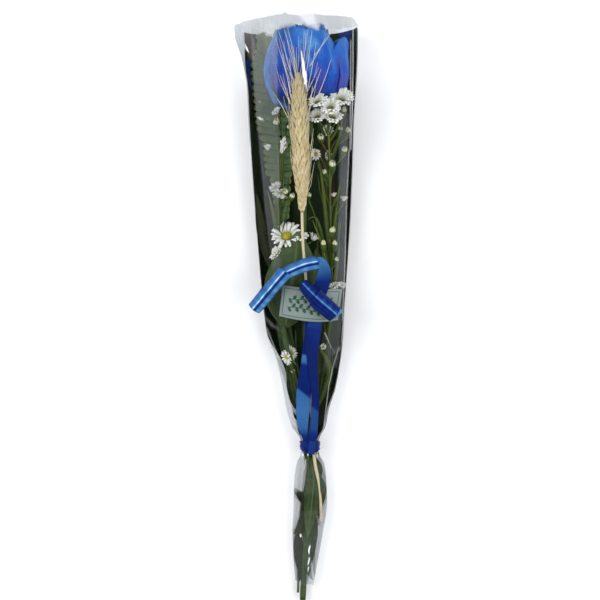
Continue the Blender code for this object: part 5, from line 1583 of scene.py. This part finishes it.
def label_place(u, v, lift=0.0):
    """A place on the sticker: u runs left to right and v top to bottom, each from 0 to 1."""
    u, v = np.broadcast_arrays(np.asarray(u, float), np.asarray(v, float))
    left = (1 - v)[..., None] * LABEL_CORNERS[0] + v[..., None] * LABEL_CORNERS[2]
    right = (1 - v)[..., None] * LABEL_CORNERS[1] + v[..., None] * LABEL_CORNERS[3]
    place = (1 - u)[..., None] * left + u[..., None] * right
    x, y = place[..., 0], place[..., 1]
    y = y - 3.4 * v * 4 * u * (1 - u) * (0.6 + 0.4 * u)
    z = 42.6 - 0.0085 * (x - 8.0) ** 2 + 0.06 * (y - 2.0) + lift
    return np.stack([x, y - 1.2 * np.sin(math.pi * u) * (1 - v), z], axis=-1)


def label():
    """A plain pale sticker with a thin border and two rows of leafy sprigs."""
    paper = Surface()
    v, u = np.meshgrid(np.linspace(0, 1, 25), np.linspace(0, 1, 49), indexing="ij")
    paper.slab(label_place(u, v), 0.4, 0.0, taper=0.8)
    paper.build("sticker_sheet", paper_material(), "sticker", "label")
    ink = Surface()
    line_lift, leaf_lift = 0.33, 0.36

    def print_between(line, side, half):
        ink.slab(np.stack([line - side * half, line + side * half], axis=1), 0.06, 0.0, taper=1.0)

    def print_line(us, vs, width):
        line = label_place(us, vs, line_lift)
        print_between(line, unit(np.cross(directions(line), (0.0, 0.0, 1.0))), 0.5 * width)

    inset, top, bottom, border = 0.045, 0.08, 0.92, 0.45
    for v in (top, bottom):
        print_line(np.linspace(inset, 1 - inset, 30), v, border)
    for u in (inset, 1 - inset):
        print_line(u, np.linspace(top, bottom, 12), border)
    leaves = 13
    s = np.linspace(0, 1, 7)
    half = 1.3 * np.sin(math.pi * np.clip(s, 0.02, 0.98))
    for row, v in enumerate((0.36, 0.66)):
        us = np.linspace(0.12, 0.88, 60)
        print_line(us, v + 0.035 * np.sin(9 * us + 2 * row), 0.5)
        for k in range(leaves):
            u = 0.14 + 0.72 * k / (leaves - 1)
            foot = v + 0.035 * math.sin(9 * u + 2 * row)
            root = label_place(u, foot, leaf_lift)
            tip = label_place(u + 0.05, foot + (-0.13 if k % 2 else 0.13), leaf_lift)
            side = unit(np.cross(tip - root, (0.0, 0.0, 1.0)))
            print_between(root + (tip - root) * s[:, None], side, half[:, None])
    ink.build("sticker_ornament", print_material(), "sticker", "label")


# Floor, lights and camera


def stage():
    mesh = bpy.data.meshes.new("floor")
    size, height = 6.0, -0.0006
    corners = [(x * size, y * size, height) for x, y in ((-1, -1), (1, -1), (1, 1), (-1, 1))]
    mesh.from_pydata(corners, [], [(0, 1, 2, 3)])
    mat, shader = plain("floor_paint", Roughness=0.9)
    paint = ramp(mat, noise(mat, 0.01), (0.3, (0.93, 0.93, 0.93)), (0.7, (0.95, 0.95, 0.95)))
    join(mat, shader, Base_Color=paint)
    mesh.materials.append(mat)
    floor = bpy.data.objects.new("floor", mesh)
    bpy.context.scene.collection.objects.link(floor)


def light(name, place, target, size, power):
    data = bpy.data.lights.new(name, "AREA")
    data.shape = "RECTANGLE"
    data.size, data.size_y = size
    data.energy = power
    lamp = bpy.data.objects.new(name, data)
    lamp.location = place
    lamp.rotation_mode = "QUATERNION"
    lamp.rotation_quaternion = (Vector(target) - Vector(place)).to_track_quat("-Z", "Y")
    bpy.context.scene.collection.objects.link(lamp)


def lights():
    world = bpy.data.worlds.new("studio")
    world.use_nodes = True
    background = world.node_tree.nodes["Background"]
    background.inputs["Color"].default_value = (0.93, 0.96, 1.0, 1.0)
    background.inputs["Strength"].default_value = 0.62
    bpy.context.scene.world = world
    light("key", (-1.15, 0.55, 1.15), (0.0, 0.0, 0.0), (1.3, 1.3), 17.0)
    light("fill", (1.15, -0.1, 1.2), (0.0, 0.0, 0.0), (1.3, 1.3), 13.0)
    light("left_strip", (-0.55, 0.05, 0.75), (0.0, 0.05, 0.03), (0.06, 0.9), 1.0)
    light("right_strip", (0.6, 0.05, 0.65), (0.0, 0.05, 0.03), (0.06, 0.9), 0.8)


def camera():
    data = bpy.data.cameras.new("camera")
    data.sensor_width = SENSOR
    data.lens = SENSOR * (CAMERA_PLACE[2] - FOCUS_HEIGHT) / (2 * PHOTO_MIDDLE * MM_PER_PIXEL)
    data.clip_start = 0.05
    cam = bpy.data.objects.new("camera", data)
    cam.location = [(c - m) * MM for c, m in zip(CAMERA_PLACE, MIDDLE)]
    bpy.context.scene.collection.objects.link(cam)
    bpy.context.scene.camera = cam


film()
liner()
rose_petals()
rose_stem()
fern()
wheat()
sprays()
sprig()
ribbon()
label()
stage()
lights()
camera()
bpy.context.scene.view_settings.view_transform = "Standard"
